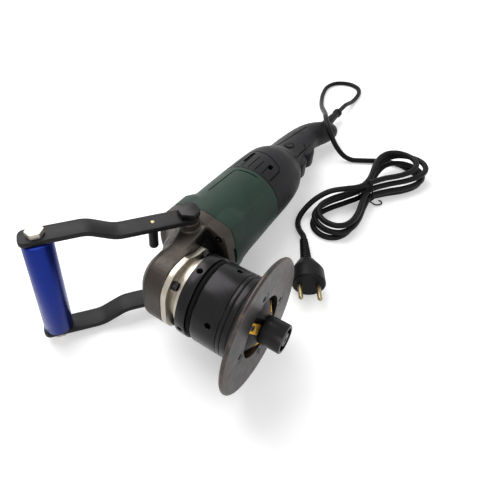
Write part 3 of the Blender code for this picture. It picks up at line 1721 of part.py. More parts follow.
# Free stretch of the cord, from inside the guard to the hank
exit_point = machine.matrix_world @ Vector((guard_tip_x - guard_collar_length, 0, guard_z))
exit_direction = machine.matrix_world.to_3x3() @ Vector((-1, 0, 0))
cord_start = machine.matrix_world @ Vector((guard_base_x + guard_base_width, 0, guard_z))
free_points = [cord_start, exit_point, exit_point + exit_direction * cord_exit_straight]
free_points += [Vector(point) for point in cord_route]
free_points.append(hank_path[0] - entry_direction * (gap + 2 * cord_radius))
free_path, free_length = smooth_path(free_points[1:], cord_spacing)
free_path = [Vector((point.x, point.y, max(point.z, floor_height))) for point in free_path]
free_path = [cord_start] + free_path + [hank_path[0] - entry_direction * gap]
publish_loose("power_cord", tube(free_path, cord_radius, 2), "rubber")
print("exit", [round(value, 5) for value in exit_point], "free length", round(free_length, 3))


# Wire tie round the waist of the hank
def wire_tie():
    rows = [waist_floor + waist_row * row for row in range(3)]
    half = layer / 2
    centres = [
        (-half, rows[0]), (half, rows[0]), (-2 * half, rows[1]), (2 * half, rows[1]), (-half, rows[2]),
        (half, rows[2]), (0, rows[2] + layer + top_row_rise),
    ]
    offset = cord_radius + gap + tie_radius
    points = []
    for index in range(tie_steps + 1):
        share = index / tie_steps
        angle = -math.pi / 2 - tie_overlap - math.tau * share
        across, upward = math.cos(angle), math.sin(angle)
        centre = max(centres, key=lambda place: place[0] * across + place[1] * upward)
        drift = (2 * share - 1) * (2 * tie_radius)
        points.append(Vector((drift, centre[0] + across * offset, centre[1] + upward * offset)))
    points += [Vector(point) for point in tie_tail]
    return tube([hank_turn @ point for point in points], tie_radius, 0)


publish_loose("cord_tie", wire_tie(), "black_steel")


# Plug with a ribbed neck and two round pins
def plug():
    neck_end = plug_neck_length
    body_end = neck_end + plug_body_length
    shoulder = neck_end + plug_body_length * plug_shoulder_share
    profile = [(0, body_end), (plug_body_radius, body_end), (plug_body_radius, shoulder)]
    profile.append((plug_neck_radii[1] + plug_rib_depth * 2, neck_end))
    step = plug_neck_length / plug_rib_count
    for index in range(plug_rib_count):
        share = 1 - (index + 1) / plug_rib_count
        radius = plug_neck_radii[0] + (plug_neck_radii[1] - plug_neck_radii[0]) * share
        end = neck_end - step * index
        profile += [(radius, end), (radius - plug_rib_depth, end - step / 2)]
    profile += [(plug_neck_radii[0], 0), (0, 0)]
    body = turned(profile, "X", 14)
    pins = []
    for side in (-1, 1):
        place = (0, side * plug_pin_spacing / 2, 0)
        pins.append(disc(plug_pin_radius, body_end + plug_pin_length, body_end - overrun, "X", 8, place))
    return moved(united(body, *pins), plug_frame)


publish_loose("plug", plug(), "rubber")
for joint in (
    rotor_joint, spindle_joint, roller_joint, lock_ring_joint, depth_joint, handle_joint, trigger_joint,
    side_button_joint, spindle_lock_joint,
):
    print("joint", joint.name, [round(value, 6) for value in joint.matrix_world.translation])
for name in ("X", "Y", "Z"):
    axis = Vector([1 if letter == name else 0 for letter in "XYZ"])
    print("machine axis", name, [round(value, 6) for value in machine.matrix_world.to_3x3() @ axis])
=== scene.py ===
"""Fine pieces, finishes, mains lead, floor, light and camera of an edge beveling machine."""

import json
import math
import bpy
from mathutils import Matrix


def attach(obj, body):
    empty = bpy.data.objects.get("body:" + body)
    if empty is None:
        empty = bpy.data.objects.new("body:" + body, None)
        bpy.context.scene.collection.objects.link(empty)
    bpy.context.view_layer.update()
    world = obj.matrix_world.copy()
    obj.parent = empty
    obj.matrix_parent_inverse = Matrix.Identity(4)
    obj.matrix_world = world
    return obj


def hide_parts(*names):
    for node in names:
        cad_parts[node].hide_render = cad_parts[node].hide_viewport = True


bl_info = {
    "name": "Edge Beveling Machine",
    "version": (1, 0, 0),
    "blender": (4, 5, 0),
    "location": "View3D > Sidebar > Beveler",
    "description": "Builds the fine pieces and finishes of an edge beveling machine around its frame",
    "category": "Object",
}

import bpy
import numpy as np
from bpy.props import FloatProperty, FloatVectorProperty, IntProperty, PointerProperty
from mathutils import Matrix, Vector

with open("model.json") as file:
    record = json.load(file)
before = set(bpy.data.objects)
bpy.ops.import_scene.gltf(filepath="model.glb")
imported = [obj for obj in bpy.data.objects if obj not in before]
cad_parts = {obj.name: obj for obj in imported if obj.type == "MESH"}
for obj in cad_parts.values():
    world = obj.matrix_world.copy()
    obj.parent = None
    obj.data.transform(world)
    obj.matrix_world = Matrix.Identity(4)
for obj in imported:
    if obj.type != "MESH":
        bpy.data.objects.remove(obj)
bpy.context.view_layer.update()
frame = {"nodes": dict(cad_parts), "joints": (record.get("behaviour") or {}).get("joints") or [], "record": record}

body_of = {node: body for body, nodes in frame["record"]["behaviour"]["bodies"].items() for node in nodes}
joints = {joint["name"]: joint for joint in frame["joints"]}


# The machine's own frame: +X along the motor towards the handle, the cutter towards -Z
def machine_matrix():
    forward = Vector(joints["rotor_spin"]["axis"]).normalized()
    back = Vector(joints["spindle_spin"]["axis"]).normalized()
    side = back.cross(forward).normalized()
    turn = Matrix((forward, side, forward.cross(side))).transposed().to_4x4()
    return Matrix.Translation(joints["rotor_spin"]["pos_m"]) @ turn


MACHINE = machine_matrix()
TO_MACHINE = MACHINE.inverted()
AXIS_TURN = {
    "X": Matrix.Rotation(math.radians(90), 4, "Y"),
    "Y": Matrix.Rotation(math.radians(-90), 4, "X"),
    "Z": Matrix.Identity(4),
}
HALF_TURN = Matrix.Rotation(math.pi, 4, "X")
GAP = 0.0003
OVERRUN = 0.002
ROUND, FINE, SMALL = 96, 48, 24
SCREW_HOLE = 0.0027


def span(*nodes):
    """Lowest and highest corner of some nodes in the machine's frame."""
    points = [TO_MACHINE @ vertex.co for node in nodes for vertex in frame["nodes"][node].data.vertices]
    low = Vector([min(point[axis] for point in points) for axis in range(3)])
    high = Vector([max(point[axis] for point in points) for axis in range(3)])
    return low, high


def middle(node):
    low, high = span(node)
    return (low + high) / 2


def joint_place(name):
    return TO_MACHINE @ Vector(joints[name]["pos_m"])


def numbered(stem, count=4):
    return [f"{stem}_{index}" for index in range(1, count + 1)]


# Sizes and colours that a user would change
class BevelerGuideSettings(bpy.types.PropertyGroup):
    plate_hole: FloatProperty(
        name="Plate hole", description="Radius of the guide plate's hole", default=0.0298, unit="LENGTH")
    plate_rim: FloatProperty(
        name="Plate rim", description="Height of the plate's rounded lip", default=0.0036, unit="LENGTH")
    flare_power: FloatProperty(
        name="Flare", description="How steeply the plate flares from its hub", default=2.2)
    edge: FloatProperty(
        name="Edge", description="Width of the broken edges", default=0.0004, unit="LENGTH")
    lip_radius: FloatProperty(
        name="Lip", description="How far in the lip's rounding starts", default=0.0026, unit="LENGTH")
    groove_depth: FloatProperty(
        name="Groove depth", description="Depth of the sleeve's grooves", default=0.0007, unit="LENGTH")
    spanner_hole: FloatProperty(
        name="Spanner hole", description="Radius of the spanner holes", default=0.0027, unit="LENGTH")
    thread_pitch: FloatProperty(
        name="Thread pitch", description="Travel of the sleeve for one turn", default=0.002, unit="LENGTH")


class BevelerHandleSettings(bpy.types.PropertyGroup):
    bar_width: FloatProperty(
        name="Bar width", description="Width of the flat arms", default=0.0210, unit="LENGTH")
    bar_thickness: FloatProperty(
        name="Bar thickness", description="Thickness of the flat arms", default=0.00515, unit="LENGTH")
    bend_radius: FloatProperty(
        name="Bend radius", description="Radius of the arms' bends", default=0.030, unit="LENGTH")
    end_reach: FloatProperty(
        name="End reach", description="Arm beyond the grip's bolt", default=0.016, unit="LENGTH")
    end_corner: FloatProperty(
        name="End corner", description="Corner radius of the arm's end", default=0.007, unit="LENGTH")
    joggle_start: FloatProperty(
        name="Joggle start", description="Where the arms begin to step out", default=0.0722, unit="LENGTH")
    joggle_end: FloatProperty(
        name="Joggle end", description="Where the arms' step ends", default=0.0983, unit="LENGTH")


class BevelerMotorSettings(bpy.types.PropertyGroup):
    wall: FloatProperty(
        name="Wall", description="Wall of the rear housing", default=0.0028, unit="LENGTH")
    seam: FloatProperty(
        name="Seam", description="Radius of the moulded grooves", default=0.0010, unit="LENGTH")
    rib_count: IntProperty(
        name="Vent ribs", description="Ribs on the vent panel", default=4, min=1)


class BevelerLeadSettings(bpy.types.PropertyGroup):
    radius: FloatProperty(
        name="Lead radius", description="Half the lead's diameter", default=0.0035, unit="LENGTH")
    length: FloatProperty(
        name="Lead length", description="Length from the guard to the plug", default=2.08, unit="LENGTH")
    wire: FloatProperty(
        name="Tie wire", description="Radius of the tie's wire", default=0.0009, unit="LENGTH")


class BevelerColourSettings(bpy.types.PropertyGroup):
    casting: FloatVectorProperty(
        name="Casting", description="Gear head", subtype="COLOR", default=(0.050, 0.042, 0.0355))
    bright: FloatVectorProperty(
        name="Bright steel", description="Cover and collar", subtype="COLOR", default=(0.42, 0.385, 0.325))
    black: FloatVectorProperty(
        name="Black steel", description="Sleeve, rings", subtype="COLOR", default=(0.0105, 0.0099, 0.0104))
    plate: FloatVectorProperty(
        name="Guide plate", description="Hardened plate", subtype="COLOR", default=(0.058, 0.046, 0.045))
    blue: FloatVectorProperty(
        name="Grip", description="Anodised grip tube", subtype="COLOR", default=(0.004, 0.017, 0.17))
    green: FloatVectorProperty(
        name="Motor housing", description="Green housing", subtype="COLOR", default=(0.017, 0.034, 0.026))
    charcoal: FloatVectorProperty(
        name="Rear housing", description="Charcoal", subtype="COLOR", default=(0.0095, 0.0095, 0.0110))
    gold: FloatVectorProperty(
        name="Inserts", description="Coating of the inserts", subtype="COLOR", default=(0.50, 0.27, 0.035))
    lead: FloatVectorProperty(
        name="Mains lead", description="Lead and guard", subtype="COLOR", default=(0.0035, 0.0035, 0.0040))


class BevelerStageSettings(bpy.types.PropertyGroup):
    lens: FloatProperty(
        name="Lens", description="Camera lens in millimetres", default=33.39)
    floor: FloatProperty(
        name="Floor", description="Side of the floor", default=30.0, unit="LENGTH")
    key_power: FloatProperty(
        name="Key light", description="Power of the soft box above", default=30.0)
    fill_power: FloatProperty(
        name="Fill light", description="Power of the soft box beside the camera", default=9.0)
    ambient: FloatProperty(
        name="Ambient", description="Strength of the light from all round", default=0.48)


SETTINGS = {
    "beveler_guide": BevelerGuideSettings,
    "beveler_handle": BevelerHandleSettings,
    "beveler_motor": BevelerMotorSettings,
    "beveler_lead": BevelerLeadSettings,
    "beveler_colours": BevelerColourSettings,
    "beveler_stage": BevelerStageSettings,
}


# Modelling helpers, all used in the machine's frame
def only(obj):
    bpy.ops.object.select_all(action="DESELECT")
    obj.select_set(True)
    bpy.context.view_layer.objects.active = obj


def linked(name, data):
    """A new object in the scene."""
    obj = bpy.data.objects.new(name, data)
    bpy.context.scene.collection.objects.link(obj)
    return obj


def placed(obj, matrix):
    bpy.context.view_layer.update()
    obj.matrix_world = matrix @ obj.matrix_world
    only(obj)
    bpy.ops.object.transform_apply(location=True, rotation=True, scale=True)
    return obj


def moved(obj, x=0, y=0, z=0):
    return placed(obj, Matrix.Translation((x, y, z)))


def sided(obj, side):
    """Leaves a piece on the +Y side, or turns it over to the other one."""
    return placed(obj, HALF_TURN) if side < 0 else obj


def applied(obj, kind, **values):
    """Adds a modifier, sets its values and applies it."""
    modifier = obj.modifiers.new(kind.lower(), kind)
    for name, value in values.items():
        setattr(modifier, name, value)
    only(obj)
    bpy.ops.object.modifier_apply(modifier=modifier.name)
    return obj


def in_edit_mode(obj):
    only(obj)
    bpy.ops.object.mode_set(mode="EDIT")
    bpy.ops.mesh.select_all(action="SELECT")


def outward(obj):
    """Turns all faces outwards and leaves edit mode."""
    bpy.ops.mesh.select_all(action="SELECT")
    bpy.ops.mesh.normals_make_consistent(inside=False)
    bpy.ops.object.mode_set(mode="OBJECT")
    return obj


def started(outline):
    """A ring of edges in edit mode, all selected, ready to be drawn out."""
    bpy.ops.object.select_all(action="DESELECT")
    bpy.ops.mesh.primitive_circle_add(vertices=len(outline), radius=1, fill_type="NOTHING")
    obj = bpy.context.object
    for vertex, point in zip(obj.data.vertices, outline):
        vertex.co = point
    bpy.ops.object.mode_set(mode="EDIT")
    bpy.ops.mesh.select_mode(type="EDGE")
    bpy.ops.mesh.select_all(action="SELECT")
    return obj


def ended(obj, hollow=False):
    """Fills the two open ends, or bridges them, and turns all faces outwards."""
    bpy.ops.mesh.select_all(action="DESELECT")
    bpy.ops.mesh.select_non_manifold(
        use_wire=False, use_multi_face=False, use_non_contiguous=False, use_verts=False
    )
    if hollow:
        bpy.ops.mesh.bridge_edge_loops()
    else:
        bpy.ops.mesh.fill_holes(sides=0)
    return outward(obj)


def circle(count=ROUND):
    return [(math.cos(math.tau * i / count), math.sin(math.tau * i / count)) for i in range(count)]


def arc(x, y, radius, start, end, steps):
    """An arc round (x, y) between two angles in degrees."""
    angles = [math.radians(start + (end - start) * index / steps) for index in range(steps + 1)]
    return [(x + radius * math.cos(angle), y + radius * math.sin(angle)) for angle in angles]


def drawn(outline, sections, hollow=False):
    """A flat outline drawn out from section to section. Each section is its centre and its two scales."""
    centre, wide, high = sections[0]
    obj = started([(centre[0] + x * wide, centre[1] + y * high, centre[2]) for x, y in outline])
    for before, after in zip(sections, sections[1:]):
        step = [end - start for start, end in zip(before[0], after[0])]
        scale = (after[1] / before[1], after[2] / before[2], 1)
        bpy.ops.mesh.extrude_region_move(TRANSFORM_OT_translate={"value": step})
        bpy.ops.transform.resize(value=scale, center_override=after[0])
    return ended(obj, hollow)


def lofted(rings):
    """A closed piece drawn out from ring to ring, each with the same count of points."""
    count = len(rings[0])
    obj = started(rings[0])
    for index, points in enumerate(rings[1:], 1):
        bpy.ops.object.mode_set(mode="EDIT")
        bpy.ops.mesh.extrude_region_move(TRANSFORM_OT_translate={"value": (0, 0, 0)})
        bpy.ops.object.mode_set(mode="OBJECT")
        for vertex, point in zip(obj.data.vertices[index * count:], points):
            vertex.co = point
    bpy.ops.object.mode_set(mode="EDIT")
    return ended(obj)


def extruded(outline, profile, hollow=False):
    """An outline drawn out along Z. Each point of the profile is its scale and its height."""
    return drawn(outline, [((0, 0, height), scale, scale) for scale, height in profile], hollow)


def turned(profile, axis="Z", at=(0, 0, 0), count=ROUND, hollow=False):
    """A turned piece from (radius, height) points."""
    obj = extruded(circle(count), profile, hollow)
    return placed(obj, Matrix.Translation(at) @ AXIS_TURN[axis])


def rod(radius, start, end, axis="Z", at=(0, 0, 0), count=ROUND):
    """A plain round piece, such as a shank or what cuts a hole."""
    return turned([(radius, start), (radius, end)], axis, at, count)


def bored(name, radius, start, end, axis="Z", count=SMALL):
    """A rod on a node's own axis."""
    place = middle(name)
    at = (place.x, place.y, 0) if axis == "Z" else (0, place.y, place.z)
    return rod(radius, start, end, axis, at, count)


def plain_ring(outer, bore, low, high):
    return turned([(outer, high), (outer, low), (bore, low), (bore, high)], hollow=True)


def along_motor(obj):
    """Turns a piece that is drawn along Z so that it runs along the motor's axis."""
    return placed(obj, Matrix(((0, 0, 1, 0), (1, 0, 0, 0), (0, 1, 0, 0), (0, 0, 0, 1))))


def slab(outline, low, high, upright=False):
    """A flat outline with a thickness, read as (X, Y) along Z, or as (X, Z) along Y if it is upright."""
    obj = extruded(outline, [(1, low), (1, high)])
    if not upright:
        return placed(obj, Matrix.Identity(4))
    obj.data.transform(Matrix.Diagonal((1, 1, -1, 1)))
    in_edit_mode(obj)
    return placed(outward(obj), Matrix(((1, 0, 0, 0), (0, 0, -1, 0), (0, 1, 0, 0), (0, 0, 0, 1))))


def block(low, high):
    bpy.ops.object.select_all(action="DESELECT")
    centre = [(a + b) / 2 for a, b in zip(low, high)]
    size = [b - a for a, b in zip(low, high)]
    bpy.ops.mesh.primitive_cube_add(size=1, location=centre, scale=size)
    return placed(bpy.context.object, Matrix.Identity(4))


def softened(obj, width, segments=2, angle=30):
    angle = math.radians(angle)
    return applied(obj, "BEVEL", width=width, segments=segments, limit_method="ANGLE", angle_limit=angle)


def combined(obj, others, operation):
    for other in others:
        applied(obj, "BOOLEAN", operation=operation, solver="EXACT", object=other)
        bpy.data.objects.remove(other)
    return obj


def cut(obj, *others):
    return combined(obj, others, "DIFFERENCE")


def united(obj, *others):
    return combined(obj, others, "UNION")


def common(obj, *others):
    return combined(obj, others, "INTERSECT")


def each(obj, matrices):
    """Separate copies of a piece, each with its own mesh."""
    made = []
    for matrix in matrices:
        copy = linked(obj.name, obj.data.copy())
        copy.data.transform(matrix)
        made.append(copy)
    bpy.data.objects.remove(obj)
    return made


def joined(pieces):
    only(pieces[0])
    for piece in pieces:
        piece.select_set(True)
    bpy.ops.object.join()
    return pieces[0]


def around(count, phase=0):
    return [Matrix.Rotation(phase + math.tau * i / count, 4, "Z") for i in range(count)]


def cord_curve(name, points, radius, resolution):
    """A round cord along points, as a curve of one open spline."""
    curve = bpy.data.curves.new(name, "CURVE")
    curve.dimensions = "3D"
    curve.bevel_depth = radius
    curve.bevel_resolution = resolution
    curve.use_fill_caps = True
    spline = curve.splines.new("POLY")
    spline.points.add(len(points) - 1)
    for point, place in zip(spline.points, points):
        point.co = (*place, 1)
    return linked(name, curve)


def tube(points, radius, sides=8):
    """A round tube along points, as a mesh."""
    only(cord_curve("run", points, radius, sides // 2 - 2))
    bpy.ops.object.convert(target="MESH")
    in_edit_mode(bpy.context.object)
    bpy.ops.mesh.remove_doubles(threshold=0.000001)
    return outward(bpy.context.object)


def show(obj, name, nodes, finish, matrix=MACHINE, angle=35):
    """Puts a finished piece in the room, on its body, in place of its nodes."""
    placed(obj, matrix)
    obj.name = name
    obj.data.name = name
    obj.data.materials.clear()
    obj.data.materials.append(finish)
    bpy.ops.object.shade_smooth_by_angle(angle=math.radians(angle))
    nodes = [nodes] if isinstance(nodes, str) else list(nodes)
    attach(obj, body_of[nodes[0]])
    if name == nodes[0] + "_fine" or len(nodes) > 1:
        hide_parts(*nodes)
    return obj


def fine(obj, name, finish, **more):
    """Shows the piece that stands for one node."""
    return show(obj, name + "_fine", name, finishes[finish], **more)


def second_finish(obj, finish, chosen):
    """Gives the faces that are chosen by their centre and normal, in the machine's frame, another finish."""
    obj.data.materials.append(finish)
    turn = TO_MACHINE.to_3x3()
    for face in obj.data.polygons:
        if chosen(TO_MACHINE @ face.center, turn @ face.normal):
            face.material_index = len(obj.data.materials) - 1


# Finishes, each on the machine's own axes
def node(owner, kind, inputs, **values):
    """Adds a node, sets its values, and links each input to a socket or sets it."""
    made = owner.node_tree.nodes.new(kind)
    for name, value in values.items():
        setattr(made, name, value)
    for name, value in inputs.items():
        if isinstance(value, bpy.types.NodeSocket):
            owner.node_tree.links.new(value, made.inputs[name])
        else:
            made.inputs[name].default_value = value
    return made


def shader_of(finish):
    return finish.node_tree.nodes["Principled BSDF"]


def set_shader(finish, name, output):
    finish.node_tree.links.new(output, shader_of(finish).inputs[name])


def surface(name, colour, metallic, roughness, gloss=0.5):
    found = bpy.data.materials.new(name)
    found.use_nodes = True
    shader = shader_of(found)
    shader.inputs["Base Color"].default_value = (*colour, 1)
    shader.inputs["Metallic"].default_value = metallic
    shader.inputs["Roughness"].default_value = roughness
    shader.inputs["Specular IOR Level"].default_value = gloss
    return found


def coordinates(finish, matrix=MACHINE):
    """Object coordinates turned into a piece's own frame."""
    source = node(finish, "ShaderNodeTexCoord", {}).outputs["Object"]
    inverse = matrix.inverted()
    values = {"Vector": source, "Location": inverse.translation, "Rotation": inverse.to_euler()}
    return node(finish, "ShaderNodeMapping", values).outputs["Vector"]


def noise(finish, vector, scale, detail=3.0, roughness=0.5):
    values = {"Vector": vector, "Scale": scale, "Detail": detail, "Roughness": roughness}
    return node(finish, "ShaderNodeTexNoise", values).outputs["Fac"]


def lathe_vector(finish, vector):
    """Distance from the axis and place along it, so that a pattern runs round the axis."""
    flat = node(finish, "ShaderNodeVectorMath", {0: vector, 1: (1, 1, 0)}, operation="MULTIPLY")
    length = node(finish, "ShaderNodeVectorMath", {0: flat.outputs["Vector"]}, operation="LENGTH")
    parts = node(finish, "ShaderNodeSeparateXYZ", {"Vector": vector})
    values = {"X": length.outputs["Value"], "Z": parts.outputs["Z"]}
    return node(finish, "ShaderNodeCombineXYZ", values).outputs["Vector"]


def ranged(finish, value, low, high, start=0.3, end=0.7):
    values = {"Value": value, "From Min": start, "From Max": end, "To Min": low, "To Max": high}
    return node(finish, "ShaderNodeMapRange", values).outputs["Result"]


def product(finish, first, second):
    return node(finish, "ShaderNodeMath", {0: first, 1: second}, operation="MULTIPLY").outputs[0]


def tinted(finish, factor, first, second):
    first, second = (
        value if isinstance(value, bpy.types.NodeSocket) else (*value, 1) for value in (first, second)
    )
    return node(finish, "ShaderNodeMix", {0: factor, 6: first, 7: second}, data_type="RGBA").outputs[2]


def bumped(finish, height, strength, distance):
    """Adds a bump on top of those that the finish has."""
    values = {"Height": height, "Strength": strength, "Distance": distance}
    earlier = shader_of(finish).inputs["Normal"].links
    if earlier:
        values["Normal"] = earlier[0].from_socket
    set_shader(finish, "Normal", node(finish, "ShaderNodeBump", values).outputs["Normal"])


def shade(colour, share):
    return tuple(min(1.0, value * share) for value in colour)


def clouded(finish, pattern, colour, dark, pale):
    """The colour going from darker to paler with a pattern."""
    return tinted(finish, ranged(finish, pattern, 0, 1), shade(colour, dark), shade(colour, pale))


def cast_finish(name, colour):
    """Die-cast alloy: fine blasted grain, cloudy tone and a few rubbed patches."""
    finish = surface(name, colour, 0.65, 0.40, 0.25)
    vector = coordinates(finish)
    rubs = noise(finish, vector, 160, 6, 0.7)
    tone = clouded(finish, noise(finish, vector, 45, 4), colour, 0.82, 1.12)
    tone = tinted(finish, ranged(finish, rubs, 0, 0.5, 0.6, 0.75), tone, shade(colour, 1.5))
    set_shader(finish, "Base Color", tone)
    set_shader(finish, "Roughness", ranged(finish, noise(finish, vector, 320, 5), 0.36, 0.52))
    bumped(finish, noise(finish, vector, 2600, 2), 0.22, 0.00012)
    bumped(finish, noise(finish, vector, 240, 3), 0.12, 0.0003)
    return finish


def turned_finish(name, colour, metallic, roughness, matrix=MACHINE, marks=0.12, wear=0.35):
    """Turned metal: fine marks round the axis, with patches of uneven sheen."""
    finish = surface(name, colour, metallic, roughness, 0.3)
    vector = coordinates(finish, matrix)
    rings = noise(finish, lathe_vector(finish, vector), 1900, 4, 0.7)
    clouds = noise(finish, vector, 70, 5, 0.6)
    scuffs = noise(finish, vector, 420, 6, 0.75)
    tone = clouded(finish, rings, colour, 0.85, 1.15)
    tone = tinted(finish, ranged(finish, scuffs, 0, wear, 0.62, 0.78), tone, shade(colour, 2.2))
    set_shader(finish, "Base Color", tone)
    sheen = ranged(finish, clouds, roughness * 0.85, roughness * 1.2)
    set_shader(finish, "Roughness", product(finish, sheen, ranged(finish, rings, 0.9, 1.12)))
    bumped(finish, rings, marks, 0.00008)
    return finish


def heat_tinted_finish(name, colour):
    """Hardened plate: brown-grey tint with greener patches, a rubbed warm rim and faint turning marks."""
    finish = surface(name, colour, 0.80, 0.38, 0.3)
    vector = coordinates(finish)
    lathe = lathe_vector(finish, vector)
    patches = noise(finish, vector, 26, 5, 0.6)
    stains = noise(finish, vector, 95, 6, 0.7)
    green_grey = (colour[0] * 0.62, colour[1] * 0.78, colour[2] * 0.80)
    tone = tinted(finish, ranged(finish, patches, 0, 1, 0.42, 0.62), colour, green_grey)
    tone = tinted(finish, ranged(finish, stains, 0, 0.55, 0.5, 0.72), tone, shade(colour, 1.35))
    distance = node(finish, "ShaderNodeSeparateXYZ", {"Vector": lathe}).outputs["X"]
    rim = ranged(finish, distance, 0, 1, 0.0605, 0.0632)
    rubbed = product(finish, rim, ranged(finish, stains, 0, 0.75, 0.42, 0.62))
    set_shader(finish, "Base Color", tinted(finish, rubbed, tone, (0.105, 0.075, 0.058)))
    set_shader(finish, "Roughness", ranged(finish, stains, 0.34, 0.50))
    bumped(finish, noise(finish, lathe, 1500, 4, 0.7), 0.10, 0.00008)
    bumped(finish, noise(finish, vector, 700, 4), 0.06, 0.0001)
    return finish


def moulded_finish(name, colour, roughness, grain):
    """Moulded plastic: spark-eroded grain, faint dust and uneven sheen."""
    finish = surface(name, colour, 0.0, roughness, 0.13)
    vector = coordinates(finish)
    clouds = noise(finish, vector, 60, 4)
    dust = noise(finish, vector, 900, 5, 0.8)
    tone = clouded(finish, clouds, colour, 0.88, 1.12)
    tone = tinted(finish, ranged(finish, dust, 0, 0.25, 0.66, 0.8), tone, shade(colour, 2.6))
    set_shader(finish, "Base Color", tone)
    set_shader(finish, "Roughness", ranged(finish, clouds, roughness - 0.05, roughness + 0.07))
    bumped(finish, noise(finish, vector, 3400, 2), grain, 0.00008)
    return finish


def rubber_finish(name, colour, roughness):
    """Soft rubber: matt, with a little bloom."""
    finish = surface(name, colour, 0.0, roughness, 0.12)
    vector = coordinates(finish)
    bloom = noise(finish, vector, 150, 5, 0.7)
    set_shader(finish, "Base Color", clouded(finish, bloom, colour, 0.85, 1.35))
    set_shader(finish, "Roughness", ranged(finish, bloom, roughness - 0.08, roughness + 0.08))
    bumped(finish, noise(finish, vector, 1800, 3), 0.12, 0.0001)
    return finish


finishes = {}
STEEL = (0.46, 0.45, 0.43)
COPPER = (0.58, 0.24, 0.10)
BRASS = (0.30, 0.24, 0.13)
SCREW_GREY = (0.055, 0.055, 0.060)
CARBON_GREY = (0.03, 0.03, 0.032)
# Near-black painted shade, laid on deep recesses and inside moulded grooves where shade falls
PAINTED_SHADE_BLACK = (0.0015, 0.0015, 0.0015)
RING_BLACK = (0.0012, 0.0012, 0.0012)


def make_finishes(colours):
    handle_axis = MACHINE @ Matrix.Translation(middle("grip_tube")) @ AXIS_TURN["Y"]
    motor_axis = MACHINE @ AXIS_TURN["X"]
    finishes.update(
        cast=cast_finish("cast_alloy", colours.casting),
        bright=turned_finish("bright_steel", colours.bright, 0.92, 0.30, marks=0.2, wear=0.15),
        bolt=cast_finish("plated_bolt", shade(colours.bright, 1.15)),
        black=turned_finish("black_oxide_steel", shade(colours.black, 1.9), 0.90, 0.27),
        bar=moulded_finish("black_flat_bar", colours.black, 0.40, 0.22),
        plate=heat_tinted_finish("heat_tinted_plate", colours.plate),
        screw=turned_finish("grey_screw", SCREW_GREY, 0.7, 0.40),
        ground=turned_finish("ground_steel", STEEL, 1.0, 0.26),
        motor_steel=turned_finish("armature_steel", STEEL, 1.0, 0.32, motor_axis),
        gold=turned_finish("gold_coating", colours.gold, 1.0, 0.30, wear=0.2),
        blue=turned_finish("blue_anodised", colours.blue, 0.72, 0.30, handle_axis, 0.10, 0.1),
        green=moulded_finish("green_housing", colours.green, 0.47, 0.30),
        charcoal=moulded_finish("charcoal_housing", colours.charcoal, 0.45, 0.30),
        # painted shade: near-black finish for the recess under the gear head and the housings' grooves
        recess=moulded_finish("painted_shade_black", PAINTED_SHADE_BLACK, 0.7, 0.1),
        rubber=rubber_finish("black_rubber", colours.lead, 0.46),
        ring_rubber=moulded_finish("soft_rubber_ring", RING_BLACK, 0.8, 0.1),
        copper=turned_finish("copper", COPPER, 1.0, 0.32, motor_axis),
        brass=turned_finish("brass", BRASS, 1.0, 0.34),
        carbon=moulded_finish("pressed_carbon", CARBON_GREY, 0.7, 0.4),
    )


# Small fasteners
def socket_cap(head_radius, head_height, shank_radius, length):
    """A knurled cap screw: its head stands on the -Z side of zero and its shank runs to +Z."""
    knurl = [(x * share, y * share) for (x, y), share in zip(circle(72), [1, 0.965] * 36)]
    edge = head_height * 0.12
    levels = ((0.94, 0), (1, -edge), (1, edge - head_height), (0.88, -head_height))
    head = extruded(knurl, [(head_radius * share, height) for share, height in levels])
    shank = rod(shank_radius, length, -edge, count=SMALL)
    mouth = head_radius * 0.62
    socket = rod(mouth * 0.9, -head_height * 0.35, -head_height * 0.9, count=6)
    flare = turned([(mouth * 0.75, -head_height * 0.85), (mouth * 1.08, -head_height - GAP)], count=32)
    return cut(united(head, shank), socket, flare)


def hexagon_bolt(head_radius, head_height, shank_radius, length):
    """A hexagon bolt on +Z: the head stands on zero and its shank runs to -Z."""
    head = rod(head_radius, 0, head_height, count=6)
    dome = turned([
        (head_radius * 0.99, -GAP), (head_radius * 1.02, head_height * 0.10),
        (head_radius * 1.02, head_height * 0.93), (head_radius * 0.955, head_height),
    ])
    head = softened(common(head, dome), head_radius * 0.018, 2, 25)
    return united(head, rod(shank_radius, head_height * 0.5, -length, count=FINE))


def countersunk_screw(head_radius, sink, shank_radius, length):
    """A countersunk screw: its face looks to -Z at zero and its shank runs to +Z."""
    edge = head_radius * 0.04
    profile = [(shank_radius, length), (shank_radius, sink), (head_radius, edge * 2)]
    body = turned(profile + [(head_radius, edge), (head_radius - edge, 0)], count=FINE)
    socket = rod(head_radius * 0.5, sink * 0.8, -OVERRUN, count=6)
    flare = turned([(head_radius * 0.42, edge * 3), (head_radius * 0.58, -edge)], count=32)
    return cut(body, socket, flare)


# Gear head
NOSE_HALF_WIDTH = 0.0366
NOSE_CORNER = 0.0268
NOSE_LEVELS = ((0, -0.003), (0.0008, 0), (0.0032, 0.003), (0.0062, 0.0055), (0.0105, 0.008))
RIM_WIDTH, RIM_RADIUS, RIM_CORNER, RIM_EDGE = 0.0154, 0.0446, 0.0494, 0.0012
CROWN_CHAMBER, FAN_CHAMBER, PINION_BORE = 0.0295, 0.036, 0.0085
CASTING_VOXEL = 0.00085
BOLT_SEAT = 0.024
SIDE_LOW = -0.0165
SIDE_STATIONS = (
    (-0.0040, 0.0366, -0.0030, 0.0310, 0.0050, 0.0240, 0.0078),
    (-0.0180, 0.0376, 0.0010, 0.0320, 0.0085, 0.0210, 0.0112),
    (-0.0300, 0.0388, 0.0040, 0.0320, 0.0120, 0.0200, 0.0150),
    (-0.0455, 0.0412, 0.0100, 0.0300, 0.0260, 0.0180, 0.0360),
)


